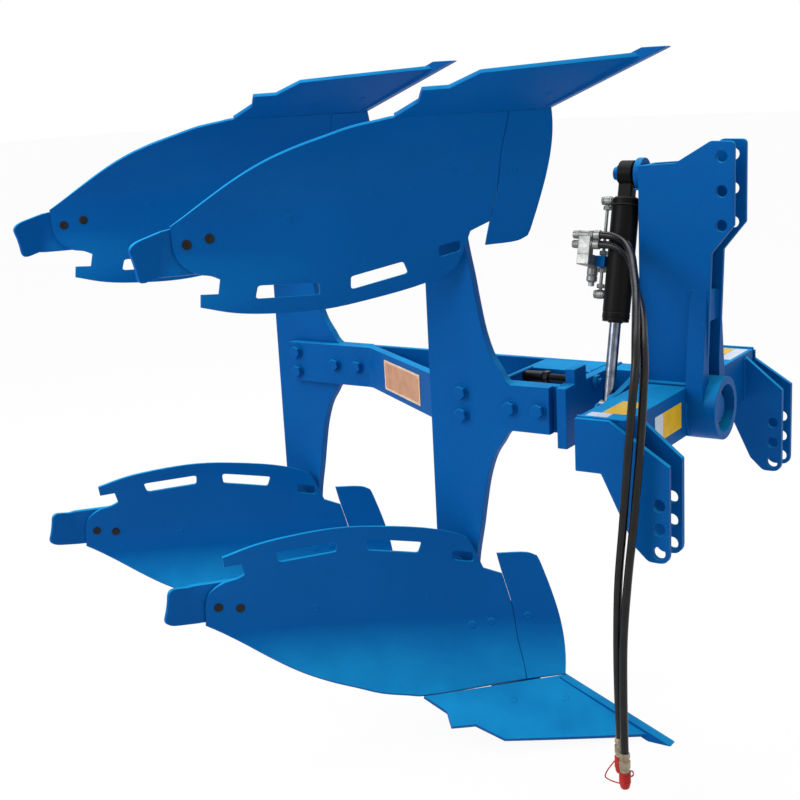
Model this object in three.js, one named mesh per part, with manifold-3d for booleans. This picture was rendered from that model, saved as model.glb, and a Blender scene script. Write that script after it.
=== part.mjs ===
// A two-furrow reversible mouldboard plough, in millimetres: +X forward, +Y left, +Z up.
// It is drawn about the turnover axis (y = 0, z = 0), with x = 0 at the lower link holes,
// and then moved so that it stands on z = 0 under the middle of its box.
import * as THREE from "three";
import { mergeVertices } from "three/addons/utils/BufferGeometryUtils.js";
import Module from "manifold-3d";

const wasm = await Module();
wasm.setup();

// General
const gap = 0.3; // between pieces that touch
const overrun = 40; // how far a cut passes the metal that it cuts
const roundSteps = 24; // sides of the large round pieces
const holeSteps = 12;
const boltSteps = 8;
const cornerSteps = 3;

// Cross tube and link brackets
const tubeSide = 116;
const tubeWall = 10;
const tubeFrontBack = 74.5; // from the link holes back to the tube's front face
const outerBracketAside = 408; // middle of the outer bracket plate
const innerBracketAside = 335;
const bracketThickness = 14;
const linkHole = 28;
const linkHoleDrops = [115, 167, 219];
const bracketEdge = 23; // metal in front of and below the link holes
const outerBracketShares = [[0, 1], [0.37, 1], [1, 0.713], [1, 0, 1], [0.78, 0, 1],
  [0.626, 0.103], [0.28, 0.607], [0, 0.607]];
const innerBracketShares = [[0.36, 0.976], [1, 0.713], [1, 0, 1], [0.78, 0, 1],
  [0.626, 0.103], [0.28, 0.607], [0.36, 0.607]];

// Hub, bushes and turnover shaft
const hubOutside = 148;
const hubInside = 112;
const hubFrontBack = 4;
const hubLength = 201;
const bushLength = 45;
const frontRecess = 51; // from the hub's front face to the front bush
const shaftDiameter = 91.4;
const shaftEndDiameter = 60;
const shaftEndLength = 37;
const washerDiameter = 106;
const washerThickness = 6;
const nutDiameter = 92;
const nutThickness = 24;
const nutSides = 6;
const crankGap = 1; // between the hub's rear face and the crank plate

// Mast
const mastAside = 39; // middle of each mast plate
const mastThickness = 12;
const pivotHeight = 540; // of the turnover cylinder's top pin
const mastHead = 73; // from that pin up to the mast's top
const mastTop = pivotHeight + mastHead;
const mastRearBack = 198;
const mastNose = 28; // how far the mast's nose stands ahead of the link holes
const mastShares = [[0, 0.915], [0.394, 0.923], [0.757, 1, 1], [1, 0.998, 1], [1, 0.698],
  [0.77, 0.594], [0.73, 0.178], [0.73, 0.03], [0.035, 0.03], [0, 0.488]];
const mastCorner = 10;
const topHole = 26;
const topHoleBack = 1;
const topHoleShares = [0.6966, 0.8206, 0.9445]; // of the mast's height
const cheekTop = 283; // the folded cheek that widens the mast's foot to the hub
const cheekDepth = 42;
const spacerHeight = 69;
const spacerFoot = 204;
const spacerBack = 38;
const spacerThickness = 14;
const rearPlateThickness = 12;
const rearPlateFoot = 90;

// Turnover cylinder, hung from the mast's rear edge
const cylinderBack = 240;
const crankRadius = 138;
const stroke = 155;
const pivotPin = 30;
const pivotPinLength = 76;
const lugDiameter = 72;
const lugThickness = 17;
const eyeWidth = 34;
const eyeDiameter = 60;
const barrelDiameter = 64;
const barrelWall = 7;
const barrelStart = 56; // all along the cylinder, from its top pivot
const strokeSpare = 76; // room in the barrel beyond the stroke
const glandLength = 7;
const glandDiameter = 62;
const capLength = 16;
const neckWidth = 30;
const rodDiameter = 27;
const rodEyeDiameter = 58;
const pistonLength = 35;
const pistonClearance = 0.4;
const barrelLength = capLength + stroke + pistonLength + strokeSpare;
const crankPin = 28;
const crankPinHead = 42;
const crankPinHeadLength = 9;

// Oil block, pipes and hose ends on the cylinder
const blockPlace = 207;
const blockWidth = 50;
const blockHeight = 26;
const blockDepth = 22;
const blockAside = 6;
const pipeDiameter = 13;
const pipeStandoff = 13;
const banjoDiameter = 22;
const banjoLength = 26;
const topPort = 64;
const lowPort = 283;
const carrierDepth = 30;
const hoseEndPlaces = [150, 172];
const hoseEndAside = 48.7;
const hoseEndDiameter = 19;
const hoseEndLength = 52;
const hoseEndFace = 50; // from the cylinder's centre plane back to where the hoses leave
const carrierWidth = 24;
const dropFittingDiameter = 26;
const dropFittingLength = 48;
const dropNoseDiameter = 14;
const dropNoseLength = 10;

// Hoses: their routes are lists of points, chosen by hand
const hoseDiameter = 18;
const hoseSides = 8;
const hoseSteps = 30;
const couplerDiameter = 25;
const couplerLength = 50;
const capDiameter = 26;
const capHeight = 35;
const nearHoseRoute = [[-241, -86, 404], [-207, -103, 393], [-175, -141, 374], [-143, -200, 345],
  [-110, -266, 314], [-80, -336, 280], [-52, -404, 234], [-37, -442, 184], [-38, -456, 120],
  [-47, -460, 3], [-61, -460, -152], [-73, -460, -281], [-79, -457, -414], [-80, -454, -547],
  [-78, -452, -643]];
const farHoseRoute = [[-240, -92, 383], [-207, -105, 370], [-179, -133, 351], [-154, -176, 330],
  [-126, -228, 310], [-92, -284, 283], [-64, -338, 258], [-40, -390, 222], [-25, -424, 176],
  [-23, -438, 114], [-28, -446, 1], [-39, -456, -150], [-50, -464, -275], [-58, -471, -404],
  [-59, -474, -537], [-58, -474, -665]];

// Turnover frame
const plateThickness = 16; // of the crank plate
const crankEar = 100;
const crankWaist = 78;
const frameSide = 134; // the frame's far face
const barHeight = 114;
const barThickness = 25;
const bendLead = 19; // from the rear leg's front edge to the beam's rear bend
const headplateBack = 325;
const headplateThickness = 25;
const headplateDrop = 88;
const headplateTopRise = 59;
const headplateLugTop = 95;
const headplateLugShares = [0.155, 0.355]; // across the headplate from its right end
const headplateFootShares = [0.55, 0.605];
const yokeAside = 60;
const yokeWall = 12;
const crossPlateBack = 515;
const crossPlateThickness = 16;
const frameBoxAside = 15;
const spindleDiameter = 20;
const spindleBarrelDiameter = 28;
const spindleBarrelLength = 52;
const spindleAside = 25;
const spindleHeight = 44;

// Legs
const legAside = 181;
const legThickness = 25;
const armLength = 328;
const armClearance = 20; // between the headplate and the front leg's arm
const legRearBack = headplateBack + headplateThickness + armClearance + armLength;
const soleDepth = 820;
const footHeight = 285; // of the leg's foot above the sole
const legReach = soleDepth - footHeight;
const legShares = [[0.315, 1], [0.342, 0.766], [0.4, 0.58], [0.427, 0.484], [0.476, 0.338],
  [0.54, 0.23], [0.607, 0.168], [0.652, 0.125]];
const armFootShare = 0.689;
const legBolt = 20;
const pairPlace = 90; // leg bolts, from the leg's rear edge forward
const pairSpread = 28;
const singleShares = [0.683, 0.918]; // of the arm's length
const footBoltShares = [0.79, 0.93];
const footBoltPlace = 58;

// Plough bodies: each stands behind its tip, on the sole
const bodySpacing = 56; // between the arm of one leg, doubled, and the next leg
const bodyBack = 2 * armLength + bodySpacing;
const bodyAside = 299;
const tipBack = 86;
const wallAside = 108;
const shinBack = 291; // from the tip back to the shin's foot
const jointHeight = 123; // of the joint between share and mouldboard
const wallLength = 683; // from the shin's foot back to the mouldboard's rear
const wallHeight = 429;
const boardThickness = 8;
const backingThickness = 12;
// The working surface at four heights: its offset aside, slope and bow, in wall lengths.
const stationShares = [
  { height: 1, offset: -0.2406, slope: 1.0764, bow: 0.1281 },
  { height: 0.667, offset: -0.1226, slope: 0.7746, bow: 0.1921 },
  { height: 0.333, offset: -0.1006, slope: 0.7178, bow: 0.2561 },
  { height: 0, offset: 0.0097, slope: 0.917, bow: 0.3415 },
];
const jointShares = [[0.108, 0.001], [0.168, 0.2], [0.199, 0.413], [0.224, 0.594]];
const boardShares = [[0.275, 0.639], [0.307, 0.8], [0.322, 0.844], [0.398, 0.909], [0.53, 0.97],
  [0.635, 1], [0.739, 0.995], [0.824, 0.972], [0.905, 0.923], [0.912, 0.86], [0.873, 0.865],
  [0.877, 0.79], [0.899, 0.769], [0.933, 0.753], [0.972, 0.7], [0.993, 0.625], [1, 0.501],
  [0.918, 0.389], [0.832, 0.287], [0.741, 0.2], [0.649, 0.133], [0.561, 0.082], [0.488, 0.042],
  [0.417, 0.016], [0.37, 0.001]];
const slotShares = [
  [[0.789, 0.907], [0.644, 0.918], [0.65, 0.855], [0.789, 0.839]],
  [[0.574, 0.907], [0.436, 0.844], [0.448, 0.779], [0.575, 0.837]],
  [[0.359, 0.772], [0.303, 0.744], [0.302, 0.685], [0.359, 0.711]]];
const shinTopShares = [[0.237, 0.723], [0.15, 0.71], [0.122, 0.685], [0.112, 0.645], [0, 0.001]];
const tailAcross = [0.885, 1.095, 7];
const tailUp = [0.515, 0.75, 3];
const tailBend = 1.005; // where the tail leaves the wall's line, in wall lengths
const tailRun = [-0.2, -0.95, 0.22]; // its way from there on
const tailSlant = 3.5; // how much more its lower edge runs on than its upper
const tailCorner = 0.4; // the share of its height that its end's corners take off
const tailThickness = 10;
const tailBoltShares = [[0.965, 0.601], [0.915, 0.578]];
const centreBoltShare = [0.734, 0.51];
const frogBoltShares = [[0.307, 0.303], [0.253, 0.31]];
const shinBoltShare = [0.149, 0.324];
const backingShares = [[0.09, 0.42], [0.2, 0.42], [0.25, 0.37], [0.36, 0.345], [0.37, 0.16],
  [0.3, 0.01], [0.1, 0.01]];
const padShares = [[0.67, 0.57], [0.77, 0.57], [0.77, 0.45], [0.67, 0.45]];
const plowBolt = 12;
// Share: corners as [back from the tip, aside of the wall, above the sole]
const shareTipAside = 5;
const shareTopBack = 298;
const shareTopAside = 13;
const shareWing = [342, 236, 37];
const shareHeel = [544, 274];
const shareThickness = 12;
const shareHeight = 122.5;
const shareOutlineShares = [[0.095, 0.147], [0.624, 0.302], [0.754, 0.539], [0.836, 0.547],
  [0.878, 0.751], [0.993, 1], [0.544, 1]]; // of the share's length and height
const shareLength = 548;
const shareBoltShares = [[0.53, 0.752], [0.2, 0.708]];
const seatShares = [[0.4, 0.5], [0.72, 0.6], [0.8, 0.97], [0.52, 0.97]];
const pointWidth = 28;
const pointThickness = 24;
// Landside and frog
const landsideThickness = 12;
const landsideHeight = 85;
const landsideRear = 450;
const landsideFoot = [20, 42]; // its lower edge above the sole, in front and at the rear
const webReach = 614; // from the tip to the web's rear
const landsideOut = 3; // how far the landside stands out of the wall line
const webThickness = 20.7;
const webShares = [[0.813, 0.885], [0.995, 0.885], [0.984, 0.583], [0.935, 0.235], [0.72, 0.12],
  [0.277, 0.075], [0.537, 0.2], [0.717, 0.466], [0.782, 0.7]]; // of webReach and wallHeight
const blockShares = [0.5, 0.7]; // the frog's block against the landside, of webReach
const frogBlockFoot = 46;
const frogBlockTop = 75;
const stayWidth = 40;
const stayThickness = 10;
const stayBoardShare = [0.7, 0.5];
const stayFootBack = 572;
const stayFootHeight = 235;

// Finishes
const blue = { color: 0x0562a6, roughness: 0.35, metalness: 0.1 };
const brightSteel = { color: 0xb9bcc0, roughness: 0.25, metalness: 0.9 };
const greySteel = { color: 0x8b8d8f, roughness: 0.45, metalness: 0.8 };
const blackPaint = { color: 0x111214, roughness: 0.45, metalness: 0.1 };
const bronze = { color: 0x9a7a45, roughness: 0.4, metalness: 0.8 };
const rubber = { color: 0x17181a, roughness: 0.6, metalness: 0 };
const couplerGrey = { color: 0xb5aa98, roughness: 0.5, metalness: 0.3 };
const capRed = { color: 0xb5281f, roughness: 0.5, metalness: 0 };

// Derived places
const tubeHalf = tubeSide / 2;
const tubeRearBack = tubeFrontBack + tubeSide;
const tubeMiddle = -(tubeFrontBack + tubeHalf);
const hubRear = -(hubFrontBack + hubLength);
const hubRadius = hubOutside / 2;
const crankFront = hubRear - crankGap;
const crankRear = crankFront - plateThickness;
const shaftShoulder = -(hubFrontBack + frontRecess);
const barHalf = barHeight / 2;
const swing = Math.atan(crankRadius / pivotHeight);
const pinToPin = Math.hypot(crankRadius, pivotHeight);
const headplateFront = -headplateBack;
const headplateRear = headplateFront - headplateThickness;
const beamFrontNear = -legAside + legThickness + gap;
const beamRearFar = bodyAside - legAside - gap;
const hoseEndPoint = hoseEndPlaces.map((place) => [
  -cylinderBack - hoseEndFace + gap,
  -hoseEndAside * Math.cos(swing) - place * Math.sin(swing),
  pivotHeight + hoseEndAside * Math.sin(swing) - place * Math.cos(swing)]);

// Solids: from three.js geometry to a solid for cutting, and back
function welded(geometry) {
  const bare = geometry.clone();
  bare.deleteAttribute("normal");
  bare.deleteAttribute("uv");
  const merged = mergeVertices(bare);
  const index = [];
  for (let i = 0; i < merged.index.count; i += 3) {
    const [p, q, r] = merged.index.array.slice(i, i + 3);
    if (p !== q && q !== r && r !== p) {
      index.push(p, q, r);
    }
  }
  merged.setIndex(index);
  return merged;
}

function toSolid(geometry) {
  const merged = welded(geometry);
  return new wasm.Manifold(new wasm.Mesh({
    numProp: 3,
    vertProperties: merged.attributes.position.array,
    triVerts: new Uint32Array(merged.index.array),
  }));
}

function toGeometry(solid) {
  const mesh = solid.getMesh();
  const geometry = new THREE.BufferGeometry();
  geometry.setAttribute("position", new THREE.BufferAttribute(mesh.vertProperties, 3));
  geometry.setIndex(new THREE.BufferAttribute(mesh.triVerts, 1));
  geometry.computeVertexNormals();
  return geometry;
}

function join(...geometries) {
  return toGeometry(geometries.map(toSolid).reduce((sum, next) => sum.add(next)));
}

function cut(geometry, ...cutters) {
  return toGeometry(cutters.map(toSolid).reduce((rest, next) => rest.subtract(next), toSolid(geometry)));
}

function keep(geometry, ...limits) {
  return toGeometry(limits.map(toSolid).reduce((rest, next) => rest.intersect(next), toSolid(geometry)));
}

// The mirror image across z = 0, with the faces turned round
function mirrored(geometry) {
  const flip = welded(geometry);
  flip.scale(1, 1, -1);
  const index = flip.index.array;
  for (let i = 0; i < index.length; i += 3) {
    [index[i + 1], index[i + 2]] = [index[i + 2], index[i + 1]];
  }
  flip.computeVertexNormals();
  return flip;
}

// Outlines: points [a, b] or [a, b, 1], where 1 marks a corner rounded with the given radius
function outline(points, radius = 0) {
  const corners = points.map(([a, b]) => new THREE.Vector2(a, b));
  const path = [];
  corners.forEach((corner, i) => {
    if (!points[i][2]) {
      path.push(corner);
      return;
    }
    const before = corners[(i + corners.length - 1) % corners.length];
    const after = corners[(i + 1) % corners.length];
    const toBefore = before.clone().sub(corner);
    const toAfter = after.clone().sub(corner);
    const turn = Math.abs(toBefore.angleTo(toAfter)) / 2;
    const reach = Math.min(radius / Math.tan(turn), toBefore.length() * 0.49, toAfter.length() * 0.49);
    const start = corner.clone().add(toBefore.setLength(reach));
    const end = corner.clone().add(toAfter.setLength(reach));
    const bend = new THREE.QuadraticBezierCurve(start, corner, end);
    path.push(...bend.getPoints(cornerSteps));
  });
  return new THREE.Shape(THREE.ShapeUtils.isClockWise(path) ? path.reverse() : path);
}

function withHoles(shape, holes) {
  for (const { a, b, diameter } of holes) {
    const hole = new THREE.Path();
    hole.absarc(a, b, diameter / 2, 0, 2 * Math.PI, true);
    shape.holes.push(hole);
  }
  return shape;
}

// Slabs of an outline: in the XZ plane from y, in the YZ plane from x, in the XY plane from z
function slabAlongY(shape, y, thickness, steps = holeSteps) {
  const geometry = new THREE.ExtrudeGeometry(shape, {
    depth: thickness, bevelEnabled: false, curveSegments: steps / 2 });
  const basis = new THREE.Matrix4().makeBasis(
    new THREE.Vector3(1, 0, 0), new THREE.Vector3(0, 0, 1), new THREE.Vector3(0, -1, 0));
  return geometry.applyMatrix4(basis.setPosition(0, y + thickness, 0));
}

function slabAlongX(shape, x, thickness, steps = holeSteps) {
  const geometry = new THREE.ExtrudeGeometry(shape, {
    depth: thickness, bevelEnabled: false, curveSegments: steps / 2 });
  const basis = new THREE.Matrix4().makeBasis(
    new THREE.Vector3(0, 1, 0), new THREE.Vector3(0, 0, 1), new THREE.Vector3(1, 0, 0));
  return geometry.applyMatrix4(basis.setPosition(x, 0, 0));
}

function slabAlongZ(shape, z, thickness, steps = holeSteps) {
  const geometry = new THREE.ExtrudeGeometry(shape, {
    depth: thickness, bevelEnabled: false, curveSegments: steps / 2 });
  return geometry.translate(0, 0, z);
}

function block(xLow, xHigh, yLow, yHigh, zLow, zHigh) {
  const geometry = new THREE.BoxGeometry(xHigh - xLow, yHigh - yLow, zHigh - zLow);
  return geometry.translate((xLow + xHigh) / 2, (yLow + yHigh) / 2, (zLow + zHigh) / 2);
}

// A disc or ring about an axis along X through (y, z)
function ringAlongX(outside, inside, x, length, y = 0, z = 0, steps = roundSteps) {
  const shape = new THREE.Shape();
  shape.absarc(y, z, outside / 2, 0, 2 * Math.PI, false);
  return slabAlongX(inside ? withHoles(shape, [{ a: y, b: z, diameter: inside }]) : shape, x, length, steps);
}

// A turned piece about Z from z = 0 up: steps of [diameter, length]
function turned(parts, steps = roundSteps) {
  const profile = [new THREE.Vector2(0, 0)];
  let height = 0;
  for (const [diameter, length] of parts) {
    profile.push(new THREE.Vector2(diameter / 2, height));
    height += length;
    profile.push(new THREE.Vector2(diameter / 2, height));
  }
  profile.push(new THREE.Vector2(0, height));
  return welded(new THREE.LatheGeometry(profile, steps)).rotateX(Math.PI / 2);
}

// Places a piece drawn about Z so that its Z runs along a direction from a point
function aimed(geometry, start, direction) {
  const turn = new THREE.Quaternion().setFromUnitVectors(new THREE.Vector3(0, 0, 1), direction);
  return geometry.applyQuaternion(turn).translate(start.x, start.y, start.z);
}

const plough = new THREE.Group();

function add(name, geometry, finish, group = plough) {
  const mesh = new THREE.Mesh(geometry, new THREE.MeshStandardMaterial(finish));
  mesh.name = name;
  group.add(mesh);
  return mesh;
}

// Headstock: the coped cross tubes, the hub between them and the link brackets
const tubeEnvelope = block(-tubeRearBack - gap, -tubeFrontBack + gap, -outerBracketAside * 2,
  outerBracketAside * 2, -tubeHalf - gap, tubeHalf + gap);
const hubEnvelope = ringAlongX(hubOutside + 2 * gap, 0, hubRear - overrun, hubLength + 2 * overrun);

function crossTube(side) {
  const reach = outerBracketAside - bracketThickness / 2 - gap;
  const outside = block(-tubeRearBack, -tubeFrontBack, 0, reach, -tubeHalf, tubeHalf);
  const bore = block(-tubeRearBack + tubeWall, -tubeFrontBack - tubeWall, -overrun, reach + overrun,
    -tubeHalf + tubeWall, tubeHalf - tubeWall);
  const tube = cut(outside, bore, hubEnvelope);
  return side > 0 ? tube : tube.rotateZ(Math.PI).translate(2 * tubeMiddle, 0, 0);
}

function bracket(shares, middle) {
  const reach = tubeRearBack + bracketEdge;
  const height = tubeHalf + linkHoleDrops.at(-1) + bracketEdge;
  const points = shares.map(([a, b, round]) => [
    a * reach - tubeRearBack, (b - 1) * height + tubeHalf, round]);
  const holes = linkHoleDrops.map((drop) => ({ a: 0, b: -drop, diameter: linkHole }));
  const plate = withHoles(outline(points, bracketEdge), holes);
  return slabAlongY(plate, middle - bracketThickness / 2, bracketThickness);
}

for (const [side, word] of [[-1, "right"], [1, "left"]]) {
  add(`cross_tube_${word}`, crossTube(side), blue);
  add(`bracket_outer_${word}`, bracket(outerBracketShares, side * outerBracketAside), blue);
  const inner = bracket(innerBracketShares, side * innerBracketAside);
  add(`bracket_inner_${word}`, cut(inner, tubeEnvelope), blue);
}

const bushBore = shaftDiameter / Math.cos(Math.PI / roundSteps) + 2 * gap;
add("hub_housing", ringAlongX(hubOutside, hubInside, hubRear, hubLength), blue);
for (const [word, place] of [["rear", hubRear], ["front", shaftShoulder - bushLength]]) {
  add(`hub_bush_${word}`, ringAlongX(hubInside - 2 * gap, bushBore, place, bushLength), bronze);
}

// Mast: two plates with folded cheeks at the foot, and the spacers between them
function mastPlate(side) {
  const reach = mastRearBack + mastNose;
  const points = mastShares.map(([a, b, round]) => [a * reach - mastRearBack, b * mastTop, round]);
  const holes = topHoleShares.map((share) => ({ a: -topHoleBack, b: share * mastTop, diameter: topHole }));
  const inner = mastAside - mastThickness / 2;
  const plate = slabAlongY(withHoles(outline(points, mastCorner), holes), inner, mastThickness);
  const outer = inner + mastThickness;
  const cheekFront = reach * mastShares[6][0] - mastRearBack;
  const cheek = slabAlongX(outline([[inner, cheekTop], [inner, 0], [hubRadius, 0], [hubRadius, tubeHalf],
    [outer, cheekTop]]), cheekFront - cheekDepth, cheekDepth);
  const whole = cut(join(plate, cheek), hubEnvelope, tubeEnvelope);
  return side > 0 ? whole : mirroredAside(whole);
}

function mirroredAside(geometry) {
  return mirrored(geometry.clone().rotateX(Math.PI / 2)).rotateX(-Math.PI / 2);
}

add("mast_plate_right", mastPlate(-1), blue);
add("mast_plate_left", mastPlate(1), blue);
const mastInside = mastAside - mastThickness / 2 - gap;
add("mast_spacer", block(-spacerBack - spacerThickness, -spacerBack, -mastInside, mastInside,
  spacerFoot, spacerFoot + spacerHeight), blue);
const lugRear = -mastRearBack - lugThickness;
const rearPlateTop = mastTop * mastShares[0][1];
add("mast_rear_plate", cut(join(
  block(-mastRearBack, -mastRearBack + rearPlateThickness, -mastInside, mastInside, rearPlateFoot,
    rearPlateTop),
  ringAlongX(lugDiameter, 0, lugRear, lugThickness - gap, 0, pivotHeight),
  block(lugRear, -mastRearBack + rearPlateThickness, -mastInside, mastInside, pivotHeight - lugDiameter / 2,
    rearPlateTop)),
ringAlongX(pivotPin + 2 * gap, 0, lugRear - overrun, overrun + lugThickness + rearPlateThickness / 2,
  0, pivotHeight, holeSteps)), blue);
add("cylinder_pin", ringAlongX(pivotPin, 0, -mastRearBack - pivotPinLength, pivotPinLength,
  0, pivotHeight, holeSteps), blue);

// Cylinder: drawn hanging straight down from its top pivot, then swung to the crank
const cylinder = new THREE.Group();
cylinder.position.set(-cylinderBack, 0, pivotHeight);
cylinder.rotation.x = -swing;
plough.add(cylinder);

function eye(diameter, place) {
  return ringAlongX(diameter, 0, -eyeWidth / 2, eyeWidth, 0, -place);
}

function along(parts, start) {
  return turned(parts).rotateX(Math.PI).translate(0, 0, -start);
}

const barrelEnd = barrelStart + barrelLength;
const pivotBore = pivotPin / Math.cos(Math.PI / holeSteps) + 2 * gap;
const pivotCut = ringAlongX(pivotBore, 0, -eyeWidth, 2 * eyeWidth, 0, 0, holeSteps);
const barrelBore = barrelDiameter - 2 * barrelWall;
add("cylinder_barrel", cut(join(
  eye(eyeDiameter, 0),
  block(-eyeWidth / 2, eyeWidth / 2, -neckWidth / 2, neckWidth / 2, -barrelStart - capLength / 2, 0),
  along([[barrelDiameter, barrelLength]], barrelStart)),
pivotCut, along([[barrelBore, barrelLength]], barrelStart + capLength)), blackPaint, cylinder);
add("cylinder_gland", cut(along([[glandDiameter, glandLength]], barrelEnd + gap),
  along([[rodDiameter + 2 * gap, glandLength + overrun]], barrelEnd - overrun / 2)), greySteel, cylinder);

const barrelFace = -barrelDiameter / 2 - gap;
const pipePlace = barrelFace - pipeStandoff;
const oilBlockTop = blockPlace - blockHeight / 2;
const oilBlockFoot = blockPlace + blockHeight / 2;

function pipe(diameter, start, length) {
  return turned([[diameter, length]], holeSteps).rotateX(Math.PI).translate(pipePlace, 0, -start);
}

function banjo(place) {
  return ringAlongX(banjoDiameter, 0, barrelFace - banjoLength, banjoLength, 0, -place, holeSteps);
}

add("valve_block", cut(block(barrelFace - blockDepth, barrelFace, -blockWidth / 2 + blockAside,
  blockWidth / 2 + blockAside, -oilBlockFoot, -oilBlockTop),
pipe(pipeDiameter + 2 * gap, topPort, lowPort - topPort)), blue, cylinder);
add("feed_pipe", join(banjo(topPort), pipe(pipeDiameter, topPort, lowPort - topPort), banjo(lowPort)),
  greySteel, cylinder);

const carrierFace = barrelFace - blockDepth - gap;
const carrierRear = carrierFace - carrierDepth;
const hoseEndRear = -hoseEndFace - hoseEndLength;
add("hose_fittings", join(
  block(carrierRear, carrierFace, -hoseEndAside - carrierWidth / 2, blockWidth / 2,
    -oilBlockFoot, -oilBlockTop),
  block(carrierRear, carrierFace, -hoseEndAside - carrierWidth / 2, -hoseEndAside + carrierWidth / 2,
    -oilBlockFoot, -hoseEndPlaces[0]),
  ...hoseEndPlaces.map((place) => ringAlongX(hoseEndDiameter, 0, hoseEndRear, hoseEndLength,
    -hoseEndAside, -place, holeSteps)),
  turned([[dropFittingDiameter, dropFittingLength], [dropNoseDiameter, dropNoseLength]], holeSteps)
    .rotateX(Math.PI).translate((carrierRear + carrierFace) / 2, 0, -blockPlace)), brightSteel, cylinder);

const pistonStart = barrelEnd - pistonLength - capLength / 2;
const crankBore = crankPin / Math.cos(Math.PI / holeSteps) + 2 * gap;
const rodLength = pinToPin - pistonStart - pistonLength;
add("piston_rod", cut(join(
  along([[barrelBore - 2 * pistonClearance, pistonLength], [rodDiameter, rodLength]], pistonStart),
  eye(rodEyeDiameter, pinToPin)),
ringAlongX(crankBore, 0, -eyeWidth, 2 * eyeWidth, 0, -pinToPin, holeSteps)), brightSteel, cylinder);

const pinReach = cylinderBack + eyeWidth / 2 + crankRear;
const pinHead = -eyeWidth / 2 - gap - crankPinHeadLength;
add("crank_pin", join(
  ringAlongX(crankPin, 0, pinHead, crankPinHeadLength + pinReach, 0, -pinToPin, holeSteps),
  ringAlongX(crankPinHead, 0, pinHead, crankPinHeadLength, 0, -pinToPin, holeSteps)), greySteel, cylinder);

// Hoses, couplers and dust caps, hanging beside the right link bracket
function hose(start, route) {
  const out = [start[0] + hoseDiameter, start[1], start[2]];
  const points = [start, out, ...route].map(([x, y, z]) => new THREE.Vector3(x, y, z));
  const curve = new THREE.CatmullRomCurve3(points, false, "centripetal");
  const section = new THREE.Shape();
  section.absarc(0, 0, hoseDiameter / 2, 0, 2 * Math.PI, false);
  return new THREE.ExtrudeGeometry(section, {
    steps: hoseSteps, extrudePath: curve, curveSegments: hoseSides / 2, bevelEnabled: false });
}

[["near", nearHoseRoute], ["far", farHoseRoute]].forEach(([word, route], i) => {
  add(`hose_${word}`, hose(hoseEndPoint[i], route), rubber);
  const [x, y, z] = route.at(-1);
  add(`coupler_${word}`, turned([[couplerDiameter, couplerLength - gap]], holeSteps)
    .translate(x, y, z - couplerLength), couplerGrey);
  add(`dust_cap_${word}`, turned([[capDiameter, capHeight]], holeSteps)
    .translate(x, y, z - couplerLength - gap - capHeight), capRed);
});

// Turnover frame: shaft, crank, yoke and headplate
const nutBack = shaftShoulder + gap;
add("shaft_nut", cut(join(
  ringAlongX(washerDiameter, 0, nutBack, washerThickness),
  ringAlongX(nutDiameter, 0, nutBack, washerThickness + nutThickness, 0, 0, nutSides)),
ringAlongX(shaftEndDiameter + 2 * gap, 0, nutBack - overrun, nutThickness + 2 * overrun)), greySteel);

const earHalf = crankEar / 2;
const crankEnd = -crankRadius - earHalf;
const crankPlate = slabAlongX(outline([[frameSide, barHalf], [0, crankWaist], [-crankRadius, earHalf],
  [crankEnd, earHalf, 1], [crankEnd, -earHalf, 1], [-crankRadius, -earHalf], [0, -crankWaist],
  [frameSide, -barHalf]], earHalf), crankRear, plateThickness);
add("crank_shaft", join(crankPlate,
  ringAlongX(shaftDiameter, 0, crankFront - gap, shaftShoulder - crankFront + gap),
  ringAlongX(shaftEndDiameter, 0, shaftShoulder - gap, shaftEndLength + gap)), blue);
add("yoke_box", cut(
  block(headplateFront + gap, crankRear - gap, yokeAside, frameSide, -barHalf, barHalf),
  block(headplateFront - overrun, crankRear + overrun, yokeAside + yokeWall, frameSide - yokeWall,
    -barHalf + yokeWall, barHalf - yokeWall)), blue);

const headplateWidth = frameSide + legAside;
const lugLow = -legAside + headplateLugShares[0] * headplateWidth;
const lugHigh = -legAside + headplateLugShares[1] * headplateWidth;
add("headplate", slabAlongX(outline([[frameSide, -barHalf], [frameSide, headplateTopRise],
  [lugHigh, headplateTopRise], [lugHigh, headplateLugTop], [lugLow, headplateLugTop],
  [lugLow, headplateTopRise], [-legAside, headplateTopRise], [-legAside, -headplateDrop],
  [-legAside + headplateFootShares[0] * headplateWidth, -headplateDrop],
  [-legAside + headplateFootShares[1] * headplateWidth, -barHalf]]),
headplateRear, headplateThickness), blue);

// The beam: one flat bar, bent twice in plan, with the leg bolts' holes
function bentBar(points, thickness) {
  const line = points.map(([x, y]) => new THREE.Vector2(x, y));
  const normal = (i) => {
    const along = line[i + 1].clone().sub(line[i]).normalize();
    return new THREE.Vector2(along.y, -along.x);
  };
  const far = line.map((point, i) => {
    const first = normal(Math.max(i - 1, 0));
    const second = normal(Math.min(i, line.length - 2));
    const middle = first.clone().add(second).normalize();
    return point.clone().addScaledVector(middle, thickness / middle.dot(first));
  });
  return new THREE.Shape([...line, ...far.reverse()]);
}

const legFront = -legRearBack + armLength;
const legBoltPlaces = [
  [pairPlace, pairSpread], [pairPlace, -pairSpread], ...singleShares.map((share) => [share * armLength, 0])];
const beamRearNear = beamRearFar - barThickness;
const boltHole = legBolt + 2 * gap;
function holeAlongY(x, z) {
  return new THREE.CylinderGeometry(boltHole / 2, boltHole / 2, 2 * frameSide + 2 * bodyAside, boltSteps)
    .translate(x, 0, z);
}

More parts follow.
